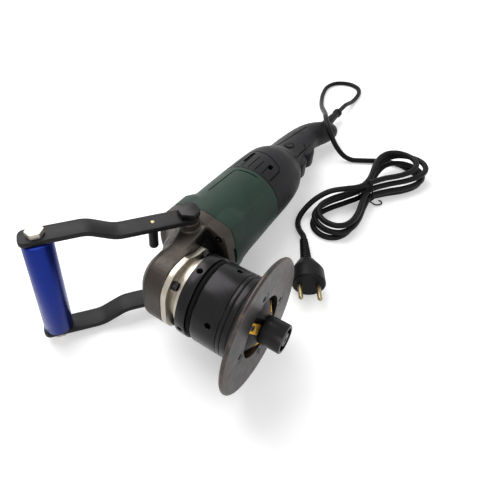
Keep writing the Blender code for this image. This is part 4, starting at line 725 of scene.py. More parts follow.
def corner_arc(inset, start, end, steps=10):
    """An arc of the nose's rounded corner, between two angles in degrees of one quadrant."""
    reach = NOSE_HALF_WIDTH - NOSE_CORNER
    halfway = math.radians((start + end) / 2)
    across, upward = math.copysign(reach, math.cos(halfway)), math.copysign(reach, math.sin(halfway))
    return arc(across, upward, NOSE_CORNER - inset, start, end, steps)


def nose_ring(inset, height):
    return [(*point, height) for start in (0, 90, 180, 270) for point in corner_arc(inset, start, start + 90)]


def side_ring(x, half_width, shoulder, slope_width, slope_height, top_width, top_height):
    half = [(half_width, SIDE_LOW), (half_width, shoulder)]
    half += [(slope_width, slope_height), (top_width, top_height)]
    other = [(-across, upward) for across, upward in half[::-1]]
    return [(x, across, upward) for across, upward in half + other]


def cornered(flat, corner):
    """Round at the four sides and drawn out at the four diagonals, with a radius of one at the sides."""
    points = []
    for degrees in range(0, 360, 3):
        bulge = max(0.0, 1 - abs(degrees % 90 - 45) / 24) ** 1.15
        radius = 1 + (corner / flat - 1) * bulge
        angle = math.radians(degrees)
        points.append((radius * math.cos(angle), radius * math.sin(angle)))
    return points


def gear_casting():
    """Casting with its rim, neck, side body, bosses and chambers, with cast fillets."""
    low, high = span("gear_housing")
    back, front = low.x, low.x + RIM_WIDTH
    nose_front = span("cover_plate")[1].z + GAP
    nose = lofted([nose_ring(inset, height) for inset, height in ((0, nose_front), *NOSE_LEVELS)])
    neck = turned([(0.0145, -0.010), (0.0260, -0.026), (0.0300, -0.040), (0.0300, back)], "X")
    seat = NOSE_HALF_WIDTH + GAP
    neck = cut(neck, block((-seat, -0.06, nose_front - 0.08), (seat, 0.06, nose_front + GAP)))
    rim = [(RIM_RADIUS, back), (RIM_RADIUS, front - RIM_EDGE), (RIM_RADIUS - RIM_EDGE, front)]
    pieces = [
        neck, lofted([side_ring(*station) for station in SIDE_STATIONS]),
        along_motor(extruded(cornered(RIM_RADIUS, RIM_CORNER), rim)),
        turned([(0.015, 0), (0.015, 0.008), (0.0144, 0.0106), (0.0128, 0.012)]),
    ]
    for side in (1, -1):
        boss = turned([(0.0112, BOLT_SEAT), (0.0110, 0.040), (0.0108, 0.044), (0.0108, high.y)], "Y")
        pieces.append(moved(sided(boss, side), middle("side_bolt_1").x))
    body = applied(united(nose, *pieces), "REMESH", mode="VOXEL", voxel_size=CASTING_VOXEL)
    body = applied(body, "SMOOTH", factor=0.6, iterations=5)
    bearing = span("front_bearing")
    return cut(
        body,
        rod(CROWN_CHAMBER, 0.003, nose_front - OVERRUN),
        rod(PINION_BORE, -0.018, bearing[1].x, "X"),
        rod(bearing[1].y + GAP, bearing[1].x + GAP, -0.0565, "X"),
        rod(FAN_CHAMBER, -0.0545, back - OVERRUN, "X"),
        turned([(0.0088, 0.0098), (0.0088, 0.0038), (0.0108, 0.0038), (0.0108, -0.001)], count=FINE),
    )


def gear_head_pieces():
    body = gear_casting()
    back = span("gear_housing")[0].x
    slots = []
    for degrees in (-8, 23, 188, 157):
        slot = block((back - OVERRUN, -0.009, 0.0346), (back + 0.004, 0.009, 0.0556))
        slots.append(placed(slot, Matrix.Rotation(math.radians(degrees), 4, "X")))
    holes = []
    for cover_screw, housing_screw in zip(numbered("cover_screw"), numbered("housing_screw")):
        holes.append(bored(cover_screw, SCREW_HOLE, span(cover_screw)[1].z + GAP, -0.03))
        place = middle(housing_screw)
        face = span(housing_screw)[1].x - 0.0035 - GAP
        profile = [(0.0041, back + 0.0174), (0.0041, face), (0.0024, face), (0.0024, back - OVERRUN)]
        holes.append(turned(profile, "X", (0, place.y, place.z), SMALL))
    holes.append(bored("spindle_lock_button", 0.0033, 0.010, -0.001))
    for side in (1, -1):
        bolt = sided(rod(0.0062, BOLT_SEAT - GAP, 0.05, "Y", count=32), side)
        holes.append(moved(bolt, middle("side_bolt_1").x))
    casting = fine(cut(body, joined(slots), joined(holes)), "gear_housing", "cast", angle=40)
    # Painted shade: the neck and the rim's inner front face below the side body, a deep recess, are painted
    # near-black
    second_finish(
        casting, finishes["recess"],
        lambda place, normal: back + 0.001 < place.x < -0.0262 and place.z < -0.0162
        and math.hypot(place.y, place.z) < 0.0408 and (normal.z < -0.3 or place.x < -0.0380),
    )


def cover_pieces():
    """Plate with a waist on both sides, and its four cap screws."""
    low, high = span("cover_plate")
    waist = [(-0.0010, 0.0366), (-0.0042, 0.0347), (-0.0172, 0.0300), (-0.0265, 0.0294)]
    outline = corner_arc(0, 0, 90) + waist + corner_arc(0, 135, 180, 6)
    outline += [(x, -y) for x, y in outline[::-1]]
    plate = softened(slab(outline, low.z, high.z), 0.0005)
    back, front = high.z + OVERRUN, low.z - OVERRUN
    holes = [bored(name, SCREW_HOLE, back, front) for name in numbered("cover_screw")]
    fine(cut(plate, rod(0.0243, back, front), *holes), "cover_plate", "bright")
    for name in numbered("cover_screw"):
        place = middle(name)
        radius = (span(name)[1].x - span(name)[0].x) / 2
        screw = socket_cap(radius, 0.005, 0.0024, 0.016)
        fine(moved(screw, place.x, place.y, low.z - GAP), name, "black")


def collar_piece(guide):
    low, high = span("threaded_collar")
    flange_back = span("cover_plate")[0].z - GAP
    flange_front = span("lock_ring")[1].z + GAP
    flange = high.x
    neck, neck_front = 0.0298, flange_back - 0.0054
    crest, bore = 0.0319, 0.0293
    profile = [
        (0.024, high.z), (0.024, flange_back), (neck, flange_back), (neck, neck_front),
        (flange - 0.0006, neck_front), (flange, neck_front - 0.0006), (flange, flange_front + 0.0028),
        (flange - 0.0011, flange_front + 0.0022), (flange - 0.0011, flange_front),
    ]
    pitch = guide.thread_pitch
    root = crest - pitch * 0.3
    height = flange_front
    while height - pitch > low.z:
        tooth = ((root, 0.1), (crest, 0.5), (crest, 0.6))
        profile += [(radius, height - pitch * share) for radius, share in tooth]
        height -= pitch
    profile += [
        (root, low.z), (bore, low.z), (bore, -0.062), (0.014, -0.056), (0.014, -0.0351), (0.0203, -0.0351),
        (0.0203, high.z),
    ]
    fine(turned(profile, hollow=True), "threaded_collar", "bright")


def lock_button_piece():
    low, high = span("spindle_lock_button")
    place = middle("spindle_lock_button")
    head_low = high.z - 0.005
    radius = (high.x - low.x) / 2
    profile = [
        (0.003, low.z), (0.003, head_low), (radius, head_low), (radius, high.z - 0.0012),
        (radius - 0.0004, high.z - 0.0005), (radius - 0.0012, high.z), (radius - 0.0022, high.z),
        (radius - 0.0030, high.z - 0.0006),
    ]
    fine(turned(profile, at=(place.x, place.y, 0), count=64), "spindle_lock_button", "bar")


def housing_screw_pieces():
    for name in numbered("housing_screw"):
        place = middle(name)
        screw = placed(socket_cap(0.0037, 0.0035, 0.0021, 0.015), Matrix.Rotation(math.radians(-90), 4, "Y"))
        fine(moved(screw, span(name)[1].x - 0.0035, place.y, place.z), name, "black")


# Lock ring, rubber ring and depth sleeve
THREAD_BORE = 0.0322


def spanner_holes(guide, phase, radius, height):
    hole, mouth = guide.spanner_hole, guide.spanner_hole + 0.0009
    levels = ((hole, -0.0055), (hole, -0.0005), (mouth, 0.0005), (mouth, OVERRUN))
    profile = [(size, radius + level) for size, level in levels]
    return joined(each(turned(profile, "X", (0, 0, height), 40), around(4, phase)))


def ring_pieces(guide):
    low, high = span("lock_ring")
    ring = softened(plain_ring(high.x, THREAD_BORE, low.z, high.z), guide.edge * 1.5)
    ring = cut(ring, spanner_holes(guide, math.radians(78.4), high.x, (low.z + high.z) / 2))
    fine(ring, "lock_ring", "black")
    low, high = span("rubber_ring")
    ring = softened(plain_ring(high.x - 0.0007, THREAD_BORE, low.z, high.z), 0.0009, 4)
    fine(ring, "rubber_ring", "ring_rubber")


def sleeve_piece(guide):
    low, high = span("depth_sleeve")
    outer = high.x
    groove = outer - guide.groove_depth
    profile = [(outer - 0.0012, high.z), (outer, high.z - 0.0022)]
    for start in (low.z + 0.0053 + 0.0042, low.z + 0.0053):
        levels = ((outer, 0.0013), (groove, 0.0009), (groove, 0.0004), (outer, 0))
        profile += [(radius, start + level) for radius, level in levels]
    profile += [
        (outer, low.z + guide.edge), (outer - guide.edge, low.z), (THREAD_BORE, low.z), (THREAD_BORE, high.z),
    ]
    sleeve = softened(turned(profile, hollow=True), guide.edge * 0.5, 2, 28)
    holes = [spanner_holes(guide, math.radians(21.3), outer, high.z - 0.0177)]
    for name in numbered("plate_screw"):
        holes.append(bored(name, SCREW_HOLE, span(name)[1].z + GAP, low.z - OVERRUN))
    fine(cut(sleeve, *holes), "depth_sleeve", "black")


# Guide plate
def guide_plate_pieces(guide):
    low, high = span("guide_plate")
    outer = high.x
    hub = span("depth_sleeve")[1].x + GAP
    depth = high.z - low.z
    rim = guide.plate_rim + guide.edge
    profile = [(hub, high.z)]
    for step in range(1, 16):
        share = step / 16
        height = rim + (depth - rim) * (1 - share) ** guide.flare_power
        profile.append((hub + (outer - hub) * share, low.z + height))
    for step in range(7):
        angle = math.radians(90 - step * 30)
        share = 0.5 * (1 + math.sin(angle))
        profile.append((outer - rim * 0.5 * (1 - math.cos(angle)), low.z + rim * share))
    bore = guide.plate_hole
    profile += [
        (outer - guide.lip_radius, low.z), (bore + guide.edge, low.z), (bore, low.z + guide.edge),
        (bore, low.z + depth * 0.5), (0.0325, high.z),
    ]
    plate = turned(profile, hollow=True, count=160)
    sink = [(SCREW_HOLE, high.z + OVERRUN), (SCREW_HOLE, low.z + 0.0034)]
    sink += [(0.0064, low.z), (0.0064, low.z - OVERRUN)]
    sinks = []
    for name in numbered("plate_screw"):
        place = middle(name)
        sinks.append(turned(sink, at=(place.x, place.y, 0), count=FINE))
        screw = countersunk_screw(0.0059, 0.0031, 0.0024, 0.0157)
        fine(moved(screw, place.x, place.y, low.z + GAP), name, "screw")
    fine(cut(plate, *sinks), "guide_plate", "plate", angle=25)


# Cutter, inserts and roller
CONE_SMALL, CONE_LARGE, CONE_SLOPE, CONE_REACH = 0.0132, 0.0285, math.radians(30), 0.0029


def insert_places():
    """One frame for each insert: local Z leaves the cone and local X runs down its slope."""
    small_end = span("guide_plate")[0].z - CONE_REACH
    reach = (CONE_SMALL + CONE_LARGE) / 2 - 0.0004
    height = small_end + (reach - CONE_SMALL) * math.tan(CONE_SLOPE)
    place = Matrix.Translation((reach, 0, height)) @ Matrix.Rotation(math.pi - CONE_SLOPE, 4, "Y")
    return [turn @ place for turn in around(3, math.radians(40))]


def cutter_pieces():
    low, high = span("cutter_body")
    front = span("guide_plate")[0].z - CONE_REACH
    back = front + (CONE_LARGE - CONE_SMALL) * math.tan(CONE_SLOPE)
    body = turned([
        (0.0083, -0.0723), (0.0083, high.z), (0.013, high.z), (0.013, -0.062), (0.0260, back + 0.0143),
        (CONE_LARGE, back + 0.0083), (CONE_LARGE, back + 0.0004), (CONE_LARGE - 0.0004, back),
        (CONE_SMALL, front), (0.006, front), (0.006, low.z + 0.0005), (0.0055, low.z),
        (SCREW_HOLE, low.z), (SCREW_HOLE, low.z + 0.012),
    ])
    places = insert_places()
    pockets = []
    for place in places:
        pocket = block((-0.0073, -0.0050, -0.0031), (0.0073, 0.0050, 0.002))
        gullet = block((-0.0090, 0.0045, -0.0042), (0.0120, 0.0092, 0.006))
        gullet = placed(gullet, Matrix.Rotation(math.radians(-18), 4, "X"))
        pockets.append(placed(united(pocket, gullet, rod(0.0024, -0.0074, 0, count=SMALL)), place))
    fine(cut(body, *pockets), "cutter_body", "bar")
    for name, place in zip(numbered("cutter_insert", 3), places):
        insert = softened(block((-0.0070, -0.0047, -0.0028), (0.0070, 0.0047, 0.0004)), 0.00018)
        sink = turned([(0.0015, -0.0010), (0.0027, 0.0002), (0.0027, 0.002)], count=40)
        insert = united(cut(insert, sink), rod(0.0020, -0.0065, -0.002, count=SMALL))
        fine(placed(insert, place), name, "gold")
        head = turned([(0.0014, -0.0008), (0.0023, 0.0001), (0.0022, 0.0003), (0.0019, 0.0004)], count=40)
        star = [(x * share, y * share) for (x, y), share in zip(circle(SMALL), [1, 0.88, 0.72, 0.88] * 6)]
        screw = placed(cut(head, extruded(star, [(0.0012, -0.0004), (0.0012, 0.001)])), place)
        show(screw, name.replace("cutter_insert", "insert_screw"), name, finishes["screw"])


def roller_pieces():
    low, high = span("guide_roller")
    outer, inner, bore = high.x, 0.0107, 0.0063
    roller = turned([
        (outer - 0.0006, high.z), (outer, high.z - 0.0006), (outer, low.z + 0.0009),
        (outer - 0.0003, low.z + 0.0003), (outer - 0.0009, low.z), (inner + 0.0003, low.z),
        (inner, low.z + 0.0003), (inner, low.z + 0.0061), (bore, low.z + 0.0061), (bore, high.z),
    ], hollow=True)
    second_finish(
        fine(roller, "guide_roller", "black"), finishes["screw"],
        lambda place, normal: normal.z < -0.9 and math.hypot(place.x, place.y) > 0.0108,
    )
    low, high = span("center_screw")
    base = span("cutter_body")[0].z - GAP
    radius = high.x
    head = turned([
        (0.0024, high.z), (0.0024, base), (radius, base), (radius, low.z + 0.0004), (radius - 0.0004, low.z),
    ], count=64)
    socket = rod(0.0029, base - 0.0004, low.z - OVERRUN, count=6)
    fine(cut(head, socket), "center_screw", "screw")


# Motor housing
BARREL_FRONT, BARREL_BACK = 0.0444, 0.0426
BARREL_MIDDLE, BARREL_CORNER = 0.0434, 0.0492
BACK_PLACE, MIDDLE_PLACE, FRONT_PLACE = -0.1566, -0.0950, -0.0800
FRAME_LINE = ((-0.0959, 0.0157), (-0.1446, 0.0135), (-0.1476, 0.0118), (-0.1487, 0.0085), (-0.1497, -0.0149))


def motor_radius(x):
    """Outer radius of the green housing's sides at one place on the motor's axis."""
    radii = [BARREL_BACK, BARREL_MIDDLE, BARREL_FRONT]
    return float(np.interp(x, [BACK_PLACE, MIDDLE_PLACE, FRONT_PLACE], radii))


def on_motor(x, z):
    return (x, math.sqrt(motor_radius(x) ** 2 - z ** 2), z)


def dense(points, step=0.003):
    """A polyline read again at short steps."""
    result = []
    for start, end in zip(points, points[1:]):
        count = max(1, round((Vector(end) - Vector(start)).length / step))
        result += [tuple(Vector(start).lerp(Vector(end), index / count)) for index in range(count)]
    return result + [tuple(points[-1])]


def motor_pieces(motor):
    low, high = span("motor_housing")
    step, step_radius, edge = 0.0035, 0.0385, 0.0007
    recess, chamber, shaft_bore, bearing_bore = 0.0365, 0.0403, 0.0095, 0.0133
    body = turned([
        (BARREL_FRONT, high.x), (BARREL_FRONT, FRONT_PLACE), (BARREL_FRONT - 0.0003, -0.0840),
        (BARREL_MIDDLE, MIDDLE_PLACE), (BARREL_BACK, BACK_PLACE + 0.0008), (0.0419, BACK_PLACE),
        (step_radius, BACK_PLACE), (step_radius, BACK_PLACE - step), (0.0165, BACK_PLACE - step),
        (0.0165, low.x),
    ], "X", count=144)
    taper = BARREL_MIDDLE / BARREL_CORNER * BARREL_FRONT
    corners = extruded(cornered(BARREL_FRONT, BARREL_CORNER), [
        (BARREL_FRONT - edge, high.x), (BARREL_FRONT, high.x - edge), (BARREL_FRONT, -0.0790),
        (BARREL_FRONT * 0.992, -0.0815), (taper * 0.995, -0.0960),
    ])
    front, back = high.x + OVERRUN, low.x - OVERRUN
    body = cut(
        united(body, along_motor(corners)),
        turned([(recess, front), (recess, -0.0660), (chamber, -0.0660), (chamber, -0.1540)], "X"),
        rod(shaft_bore, -0.1530, back, "X", count=64),
        rod(bearing_bore, -0.1619, back, "X", count=64),
    )
    names = numbered("housing_screw")
    screws = [bored(name, 0.0024, front, span(name)[0].x - GAP, "X", 20) for name in names]
    groove = tube([on_motor(x, z) for x, z in dense(FRAME_LINE)], motor.seam)
    housing = fine(cut(body, joined(screws), groove), "motor_housing", "green", angle=30)
    # Painted shade: the faces inside the moulded groove on the +Y side are painted near-black
    second_finish(
        housing, finishes["recess"],
        lambda place, normal: BACK_PLACE + 0.001 < place.x < -0.0945 and place.y > 0.03
        and 0.0408 < math.hypot(place.y, place.z) < motor_radius(place.x) - 0.0002,
    )


# Rear housing: stations along the motor's axis, as shares of its length and of the barrel's radius
STATION_SHARES = (
    0.0, 0.165, 0.265, 0.315, 0.360, 0.400, 0.455, 0.540, 0.630, 0.694, 0.757, 0.821, 0.872, 0.925, 0.965,
    1.0,
)
CENTRE_SHARES = (
    0.0, -0.01, 0.0, 0.015, 0.03, 0.04, 0.05, 0.07, 0.085, 0.095, 0.08, -0.015, -0.13, -0.27, -0.335, -0.34,
)
HEIGHT_SHARES = (
    1.0, 0.98, 0.94, 0.88, 0.80, 0.72, 0.655, 0.625, 0.58, 0.535, 0.51, 0.525, 0.515, 0.43, 0.31, 0.18,
)
WIDTH_SHARES = (
    1.0, 0.98, 0.93, 0.845, 0.73, 0.625, 0.57, 0.52, 0.48, 0.45, 0.42, 0.41, 0.39, 0.34, 0.24, 0.14,
)
REAR_HALVES = ("rear_housing_left", "rear_housing_right")
INNER_END = 0.925
BUTTON_OVAL, BUTTON_RECESS, BUTTON_TILT = 1.8, 0.0062, math.radians(-13)
VENTS = ((-0.1855, 0.0148, 0.0260, 0.0042), (-0.1790, -0.0165, 0.0080, 0.0052))
VENT_FRONT, VENT_TOP, VENT_STEP, VENT_TAPER = -0.1600, 0.0115, 0.0088, 0.0062
VENT_PANEL = (
    (-0.1600, 0.0215), (-0.2010, 0.0215), (-0.2030, 0.0170), (-0.2000, 0.0020), (-0.1965, -0.0080),
    (-0.1890, -0.0235), (-0.1840, -0.0262), (-0.1600, -0.0262),
)
HANDLE_SEAMS = (
    ((-0.2415, -0.0215), (-0.2660, -0.0185), (-0.2855, -0.0180), (-0.2900, -0.0120)),
    ((-0.2310, 0.0130), (-0.2305, -0.0030), (-0.2360, -0.0150), (-0.2395, -0.0210), (-0.2400, -0.0275)),
    ((-0.2400, 0.0125), (-0.2605, 0.0100), (-0.3365, 0.0045)),
)


def smooth_value(share, values):
    """Reads a table of stations with an even curve through its points."""
    index = max(i for i, station in enumerate(STATION_SHARES) if station <= share)
    index = min(index, len(STATION_SHARES) - 2)
    start, end = STATION_SHARES[index], STATION_SHARES[index + 1]
    t = (share - start) / (end - start)

    def slope(i):
        first, last = max(0, i - 1), min(len(values) - 1, i + 1)
        return (values[last] - values[first]) / (STATION_SHARES[last] - STATION_SHARES[first])

    width = end - start
    square, cube = t * t, t * t * t
    return (
        values[index] * (2 * cube - 3 * square + 1) + slope(index) * width * (cube - 2 * square + t)
        + values[index + 1] * (3 * square - 2 * cube) + slope(index + 1) * width * (cube - square)
    )


def rear_section(share, wall=0.0):
    low, high = span(*REAR_HALVES)
    tables = (CENTRE_SHARES, HEIGHT_SHARES, WIDTH_SHARES)
    centre, height, width = (smooth_value(share, table) * BARREL_BACK for table in tables)
    return (0, centre, high.x + (low.x - high.x) * share), width - wall, height - wall


def rear_loft(last, count, wall=0.0, lead=0.0):
    sections = [rear_section(last * i / count, wall) for i in range(count + 1)]
    if lead:
        (across, centre, x), width, height = sections[0]
        sections.insert(0, ((across, centre, x + lead), width, height))
    return along_motor(drawn(circle(80), sections))


def on_rear(x, z):
    """A point of the rear housing's +Y side."""
    low, high = span(*REAR_HALVES)
    place, width, height = rear_section((high.x - x) / (high.x - low.x))
    centre = place[1]
    inside = max(0.0, 1 - ((z - centre) / height) ** 2)
    return (x, width * math.sqrt(inside), z)


def groove_test():
    """A test that is true just below the rear housing's outer surface: the faces inside its grooves, vents and
    button recess, which get painted shade.
    """
    sections = [rear_section(index / 200) for index in range(200, -1, -1)]
    places, *tables = zip(*((place[2], place[1], width, height) for place, width, height in sections))
    button = middle("side_button")

    def in_groove(place, normal):
        if not -0.3400 < place.x < -0.1580:
            return False
        centre, width, height = (np.interp(place.x, places, values) for values in tables)
        from_button = math.hypot((place.x - button.x) / BUTTON_OVAL, place.z - button.z)
        in_recess = place.y > 0 and from_button < BUTTON_RECESS + 0.0002
        reach = math.hypot(place.y / width, (place.z - centre) / height)
        return 0.93 < reach < (0.9985 if in_recess else 0.994)

    return in_groove


def rear_openings():
    """What the cord guard, the trigger, the side button and the vents take out of the rear housing."""
    low = span(*REAR_HALVES)[0]
    guard = middle("cord_guard")
    cutters = [rod(0.0075, -0.3600, low.x - OVERRUN, "X", (0, guard.y, guard.z), FINE)]
    low, high = span("trigger")
    slot = block((low.x - 0.0006, -0.0116, -0.05), (high.x + 0.0006, 0.0116, high.z + 0.0065))
    cutters.append(softened(slot, 0.0015, 3))
    button = middle("side_button")
    cutters.append(rod(0.0053, 0.0, 0.05, "Y", (button.x, 0, button.z), 40))
    recess = rod(BUTTON_RECESS, -0.0013, 0.01, "Y", count=FINE)
    recess = placed(recess, Matrix.Diagonal((BUTTON_OVAL, 1, 1, 1)))
    recess = placed(recess, Matrix.Rotation(BUTTON_TILT, 4, "X"))
    cutters.append(moved(recess, *on_rear(button.x, button.z)))
    for side in (1, -1):
        near, far = sorted((0.018 * side, 0.060 * side))
        for x, z, length, height in VENTS:
            vent = block((x - length / 2, near, z - height / 2), (x + length / 2, far, z + height / 2))
            cutters.append(softened(vent, 0.0010, 3))
    return cutters


def rear_grooves(motor):
    """The vent panel's outline and ribs, and the handle's seams, on both sides."""
    ribs = [VENT_TOP - index * VENT_STEP for index in range(motor.rib_count)]
    lines = [(VENT_PANEL, motor.seam)]
    for index, z in enumerate(ribs):
        lines.append((((VENT_FRONT, z), (-0.1950 + index * VENT_TAPER, z)), motor.seam * 0.8))
    lines += [(line, motor.seam) for line in HANDLE_SEAMS]
    grooves = []
    for side in (1, -1):
        for line, radius in lines:
            points = [on_rear(x, z) for x, y, z in dense([on_rear(x, z) for x, z in line])]
            grooves.append(tube([(x, y * side, z) for x, y, z in points], radius))
    return grooves


def rear_housing_pieces(motor):
    outer = softened(rear_loft(1.0, 90), 0.0006, 2, 50)
    body = cut(outer, rear_loft(INNER_END, 60, motor.wall, OVERRUN))
    body = cut(cut(body, *rear_openings()), *rear_grooves(motor))
    halves = each(body, [Matrix.Identity(4)] * 2)
    for half, name in zip(halves, REAR_HALVES):
        side = math.copysign(1, middle(name).y)
        in_edit_mode(half)
        bpy.ops.mesh.bisect(
            plane_co=(0, side * GAP / 2, 0), plane_no=(0, side, 0), use_fill=True, clear_inner=True
        )
        bpy.ops.object.mode_set(mode="OBJECT")
        # Painted shade: the faces inside the grooves, vents and button recess are painted near-black
        second_finish(fine(half, name, "charcoal", angle=30), finishes["recess"], groove_test())


# Trigger, side button and cord guard
TRIGGER_SHAPE = (
    (0.0, 0.0240), (0.05, 0.0280), (0.10, 0.0305), (0.18, 0.0315), (0.27, 0.0315), (0.35, 0.0302),
    (0.42, 0.0275), (0.47, 0.0240), (0.52, 0.0215), (0.56, 0.0235), (0.60, 0.0265), (0.66, 0.0283),
    (0.73, 0.0288), (0.81, 0.0282), (0.88, 0.0262), (0.95, 0.0232), (1.0, 0.0200),
)
GUARD_FLANGE, GUARD_ROOT, GUARD_TIP, GUARD_BORE = 0.0088, 0.0072, 0.0052, 0.0038
FLANGE_PLACE, RIBS_PLACE, GUARD_RIBS = -0.3730, -0.3955, 6


def trigger_pieces():
    low, high = span("trigger")
    outline = [(low.x, high.z), (high.x, high.z)]
    outline += [(high.x + (low.x - high.x) * share, -depth) for share, depth in TRIGGER_SHAPE]
    body = softened(slab(outline, -0.0110, 0.0110, upright=True), 0.0042, 4, 40)
    trunnion = rod(0.0022, -0.0165, 0.0165, "Y", tuple(joint_place("trigger_pull")), 32)
    fine(united(body, trunnion), "trigger", "charcoal")
    low, high = span("side_button")
    place = middle("side_button")
    radius = (high.x - low.x) / 2
    button = turned([
        (radius, low.y), (radius, high.y - 0.0008), (radius - 0.0003, high.y - 0.0002),
        (radius - 0.0009, high.y), (radius - 0.0018, high.y), (radius - 0.0026, high.y - 0.0005),
    ], "Y", (place.x, 0, place.z), FINE)
    fine(button, "side_button", "bar")


def guard_piece():
    low, high = span("cord_guard")
    place = middle("cord_guard")
    tip = low.x + 0.0065
    profile = [
        (GUARD_ROOT, high.x), (GUARD_FLANGE, high.x), (GUARD_FLANGE, FLANGE_PLACE),
        (GUARD_ROOT, FLANGE_PLACE), (GUARD_ROOT, RIBS_PLACE),
    ]
    for index in range(1, GUARD_RIBS):
        share = index / GUARD_RIBS
        radius = GUARD_ROOT + (GUARD_TIP - GUARD_ROOT) * share
        x = RIBS_PLACE - (RIBS_PLACE - tip) * share
        neck = radius - 0.0006
        profile += [(radius, x + 0.0013), (neck, x + 0.0008), (neck, x - 0.0004), (radius, x - 0.0009)]
    profile += [
        (GUARD_TIP, tip + 0.001), (0.0062, tip), (0.0068, tip - 0.0008), (0.0068, low.x + 0.0010),
        (0.0060, low.x), (GUARD_BORE, low.x), (GUARD_BORE, high.x),
    ]
    fine(turned(profile, "X", (0, place.y, place.z), 56, hollow=True), "cord_guard", "rubber")


# Front handle
ARM_GAP = 0.00035
PIN_REACH = 0.0362
ACROSS = 0.08


def handle_frame():
    tube_place = middle("grip_tube")
    pivot = joint_place("handle_tilt")
    angle = math.atan2(tube_place.z - pivot.z, tube_place.x - pivot.x)
    length = (Vector((tube_place.x, tube_place.z)) - Vector((pivot.x, pivot.z))).length
    return Matrix.Translation((pivot.x, 0, pivot.z)) @ Matrix.Rotation(-angle, 4, "Y"), length


def bent(points, radius, steps=8):
    """A line with its inner corners rounded."""
    result = [Vector(points[0])]
    for before, corner, after in zip(points, points[1:], points[2:]):
        before, corner, after = Vector(before), Vector(corner), Vector(after)
        back, ahead = (before - corner).normalized(), (after - corner).normalized()
        reach = radius / math.tan(back.angle(ahead) / 2)
        start, end = corner + back * reach, corner + ahead * reach
        for step in range(steps + 1):
            t = step / steps
            result.append(start * (1 - t) ** 2 + corner * 2 * t * (1 - t) + end * t ** 2)
    return result + [Vector(points[-1])]


def arm_pieces(settings):
    place, length = handle_frame()
    half, thick = settings.bar_width / 2, settings.bar_thickness
    near = span("gear_housing")[1].y + ARM_GAP + thick / 2
    far = span("grip_tube")[1].y + GAP + thick / 2
    end = length + settings.end_reach
    spine = [(-half, near), (settings.joggle_start, near), (settings.joggle_end, far), (end, far)]
    spine = bent(spine, settings.bend_radius)
    left, right = [], []
    for index, point in enumerate(spine):
        before, after = spine[max(0, index - 1)], spine[min(len(spine) - 1, index + 1)]
        along = (after - before).normalized()
        across = Vector((-along.y, along.x)) * thick / 2
        left.append(tuple(point + across))
        right.append(tuple(point - across))
    outline = right + left[::-1]
    corner = settings.end_corner
    ends = arc(end - corner, half - corner, corner, 90, 0, 8)
    ends += [(x, -z) for x, z in ends[::-1]]
    ends += arc(0, 0, half, -90, -270, 16)
    for name, side in (("upper_arm", 1), ("lower_arm", -1)):
        plan = slab([(x, y * side) for x, y in outline], -half, half)
        arm = common(plan, slab(ends[::-1], -ACROSS, ACROSS, upright=True))
        arm = softened(arm, 0.0006, 2, 35)
        bores = ((0.0062, 0, 40), (0.0052, length, 40), (0.0026, PIN_REACH, 32))
        holes = [rod(radius, -ACROSS, ACROSS, "Y", (x, 0, 0), count) for radius, x, count in bores]
        fine(placed(cut(arm, *holes), place), name, "bar")


def grip_pieces(settings):
    place, length = handle_frame()
    low, high = span("grip_tube")
    radius, half, bore = (high.x - low.x) / 2, high.y, 0.0053
    bar = turned([
        (bore, half), (radius - 0.0022, half), (radius - 0.0006, half - 0.0008), (radius, half - 0.0024),
        (radius, 0.0024 - half), (radius - 0.0006, 0.0008 - half), (radius - 0.0022, -half), (bore, -half),
    ], "Y", (length, 0, 0), hollow=True)
    fine(placed(bar, place), "grip_tube", "blue")
    face = half + GAP + settings.bar_thickness + GAP
    for name in numbered("grip_bolt", 2):
        bolt = placed(hexagon_bolt(0.0089, 0.0052, 0.0049, 0.0247), AXIS_TURN["Y"])
        bolt = sided(moved(bolt, length, face), middle(name).y)
        fine(placed(bolt, place), name, "bolt")
    inner = span("gear_housing")[1].y + ARM_GAP
    outer = inner + settings.bar_thickness
    pivot = middle("side_bolt_1").x
    for name in numbered("side_bolt", 2):
        bolt = placed(hexagon_bolt(0.0114, 0.0065, 0.0059, outer + GAP - BOLT_SEAT), AXIS_TURN["Y"])
        fine(moved(sided(moved(bolt, 0, outer + GAP), middle(name).y), pivot), name, "black")
    seat, at = inner - GAP, (PIN_REACH, 0, 0)
    for name in numbered("stop_pin", 2):
        pin = [(0.0048, seat), (0.0048, seat - 0.0240), (0.0042, seat - 0.0252), (0.0032, seat - 0.0256)]
        rivet = [(0.0021, seat - GAP), (0.0021, outer - 0.0002)]
        rivet += [(0.0019, outer + 0.0001), (0.0010, outer + 0.0002)]
        pin = sided(turned(pin, "Y", at, FINE), middle(name).y)
        rivet = sided(turned(rivet, "Y", at, 32), middle(name).y)
        fine(placed(pin, place), name, "bar")
        show(placed(rivet, place), name.replace("pin", "rivet"), name, finishes["brass"])


# Mains lead: the loose stretch, the hank, its tie and the plug
CORD_ROUTE = (
    (0.3050, 0.0072, 0.0120), (0.3340, 0.0052, 0.0046), (0.3625, 0.0055, 0.0036),
    (0.3823, 0.0137, 0.0036), (0.3905, 0.0335, 0.0036), (0.3823, 0.0533, 0.0036),
    (0.3625, 0.0615, 0.0036), (0.3350, 0.0580, 0.0036), (0.3070, 0.0490, 0.0062),
    (0.2790, 0.0380, 0.0140), (0.2510, 0.0250, 0.0255), (0.2240, 0.0125, 0.0375),
    (0.2000, 0.0030, 0.0470), (0.1840, -0.0060, 0.0468), (0.1740, -0.0165, 0.0385),
    (0.1715, -0.0275, 0.0240), (0.1735, -0.0395, 0.0105), (0.1775, -0.0510, 0.0042),
    (0.1825, -0.0615, 0.0036),
)
HANK_ENTRY = (
    (0.0815, 0.0345, 0.0036), (0.0878, 0.0268, 0.0036), (0.0925, 0.0175, 0.0036), (0.0945, 0.0070, 0.0036),
)
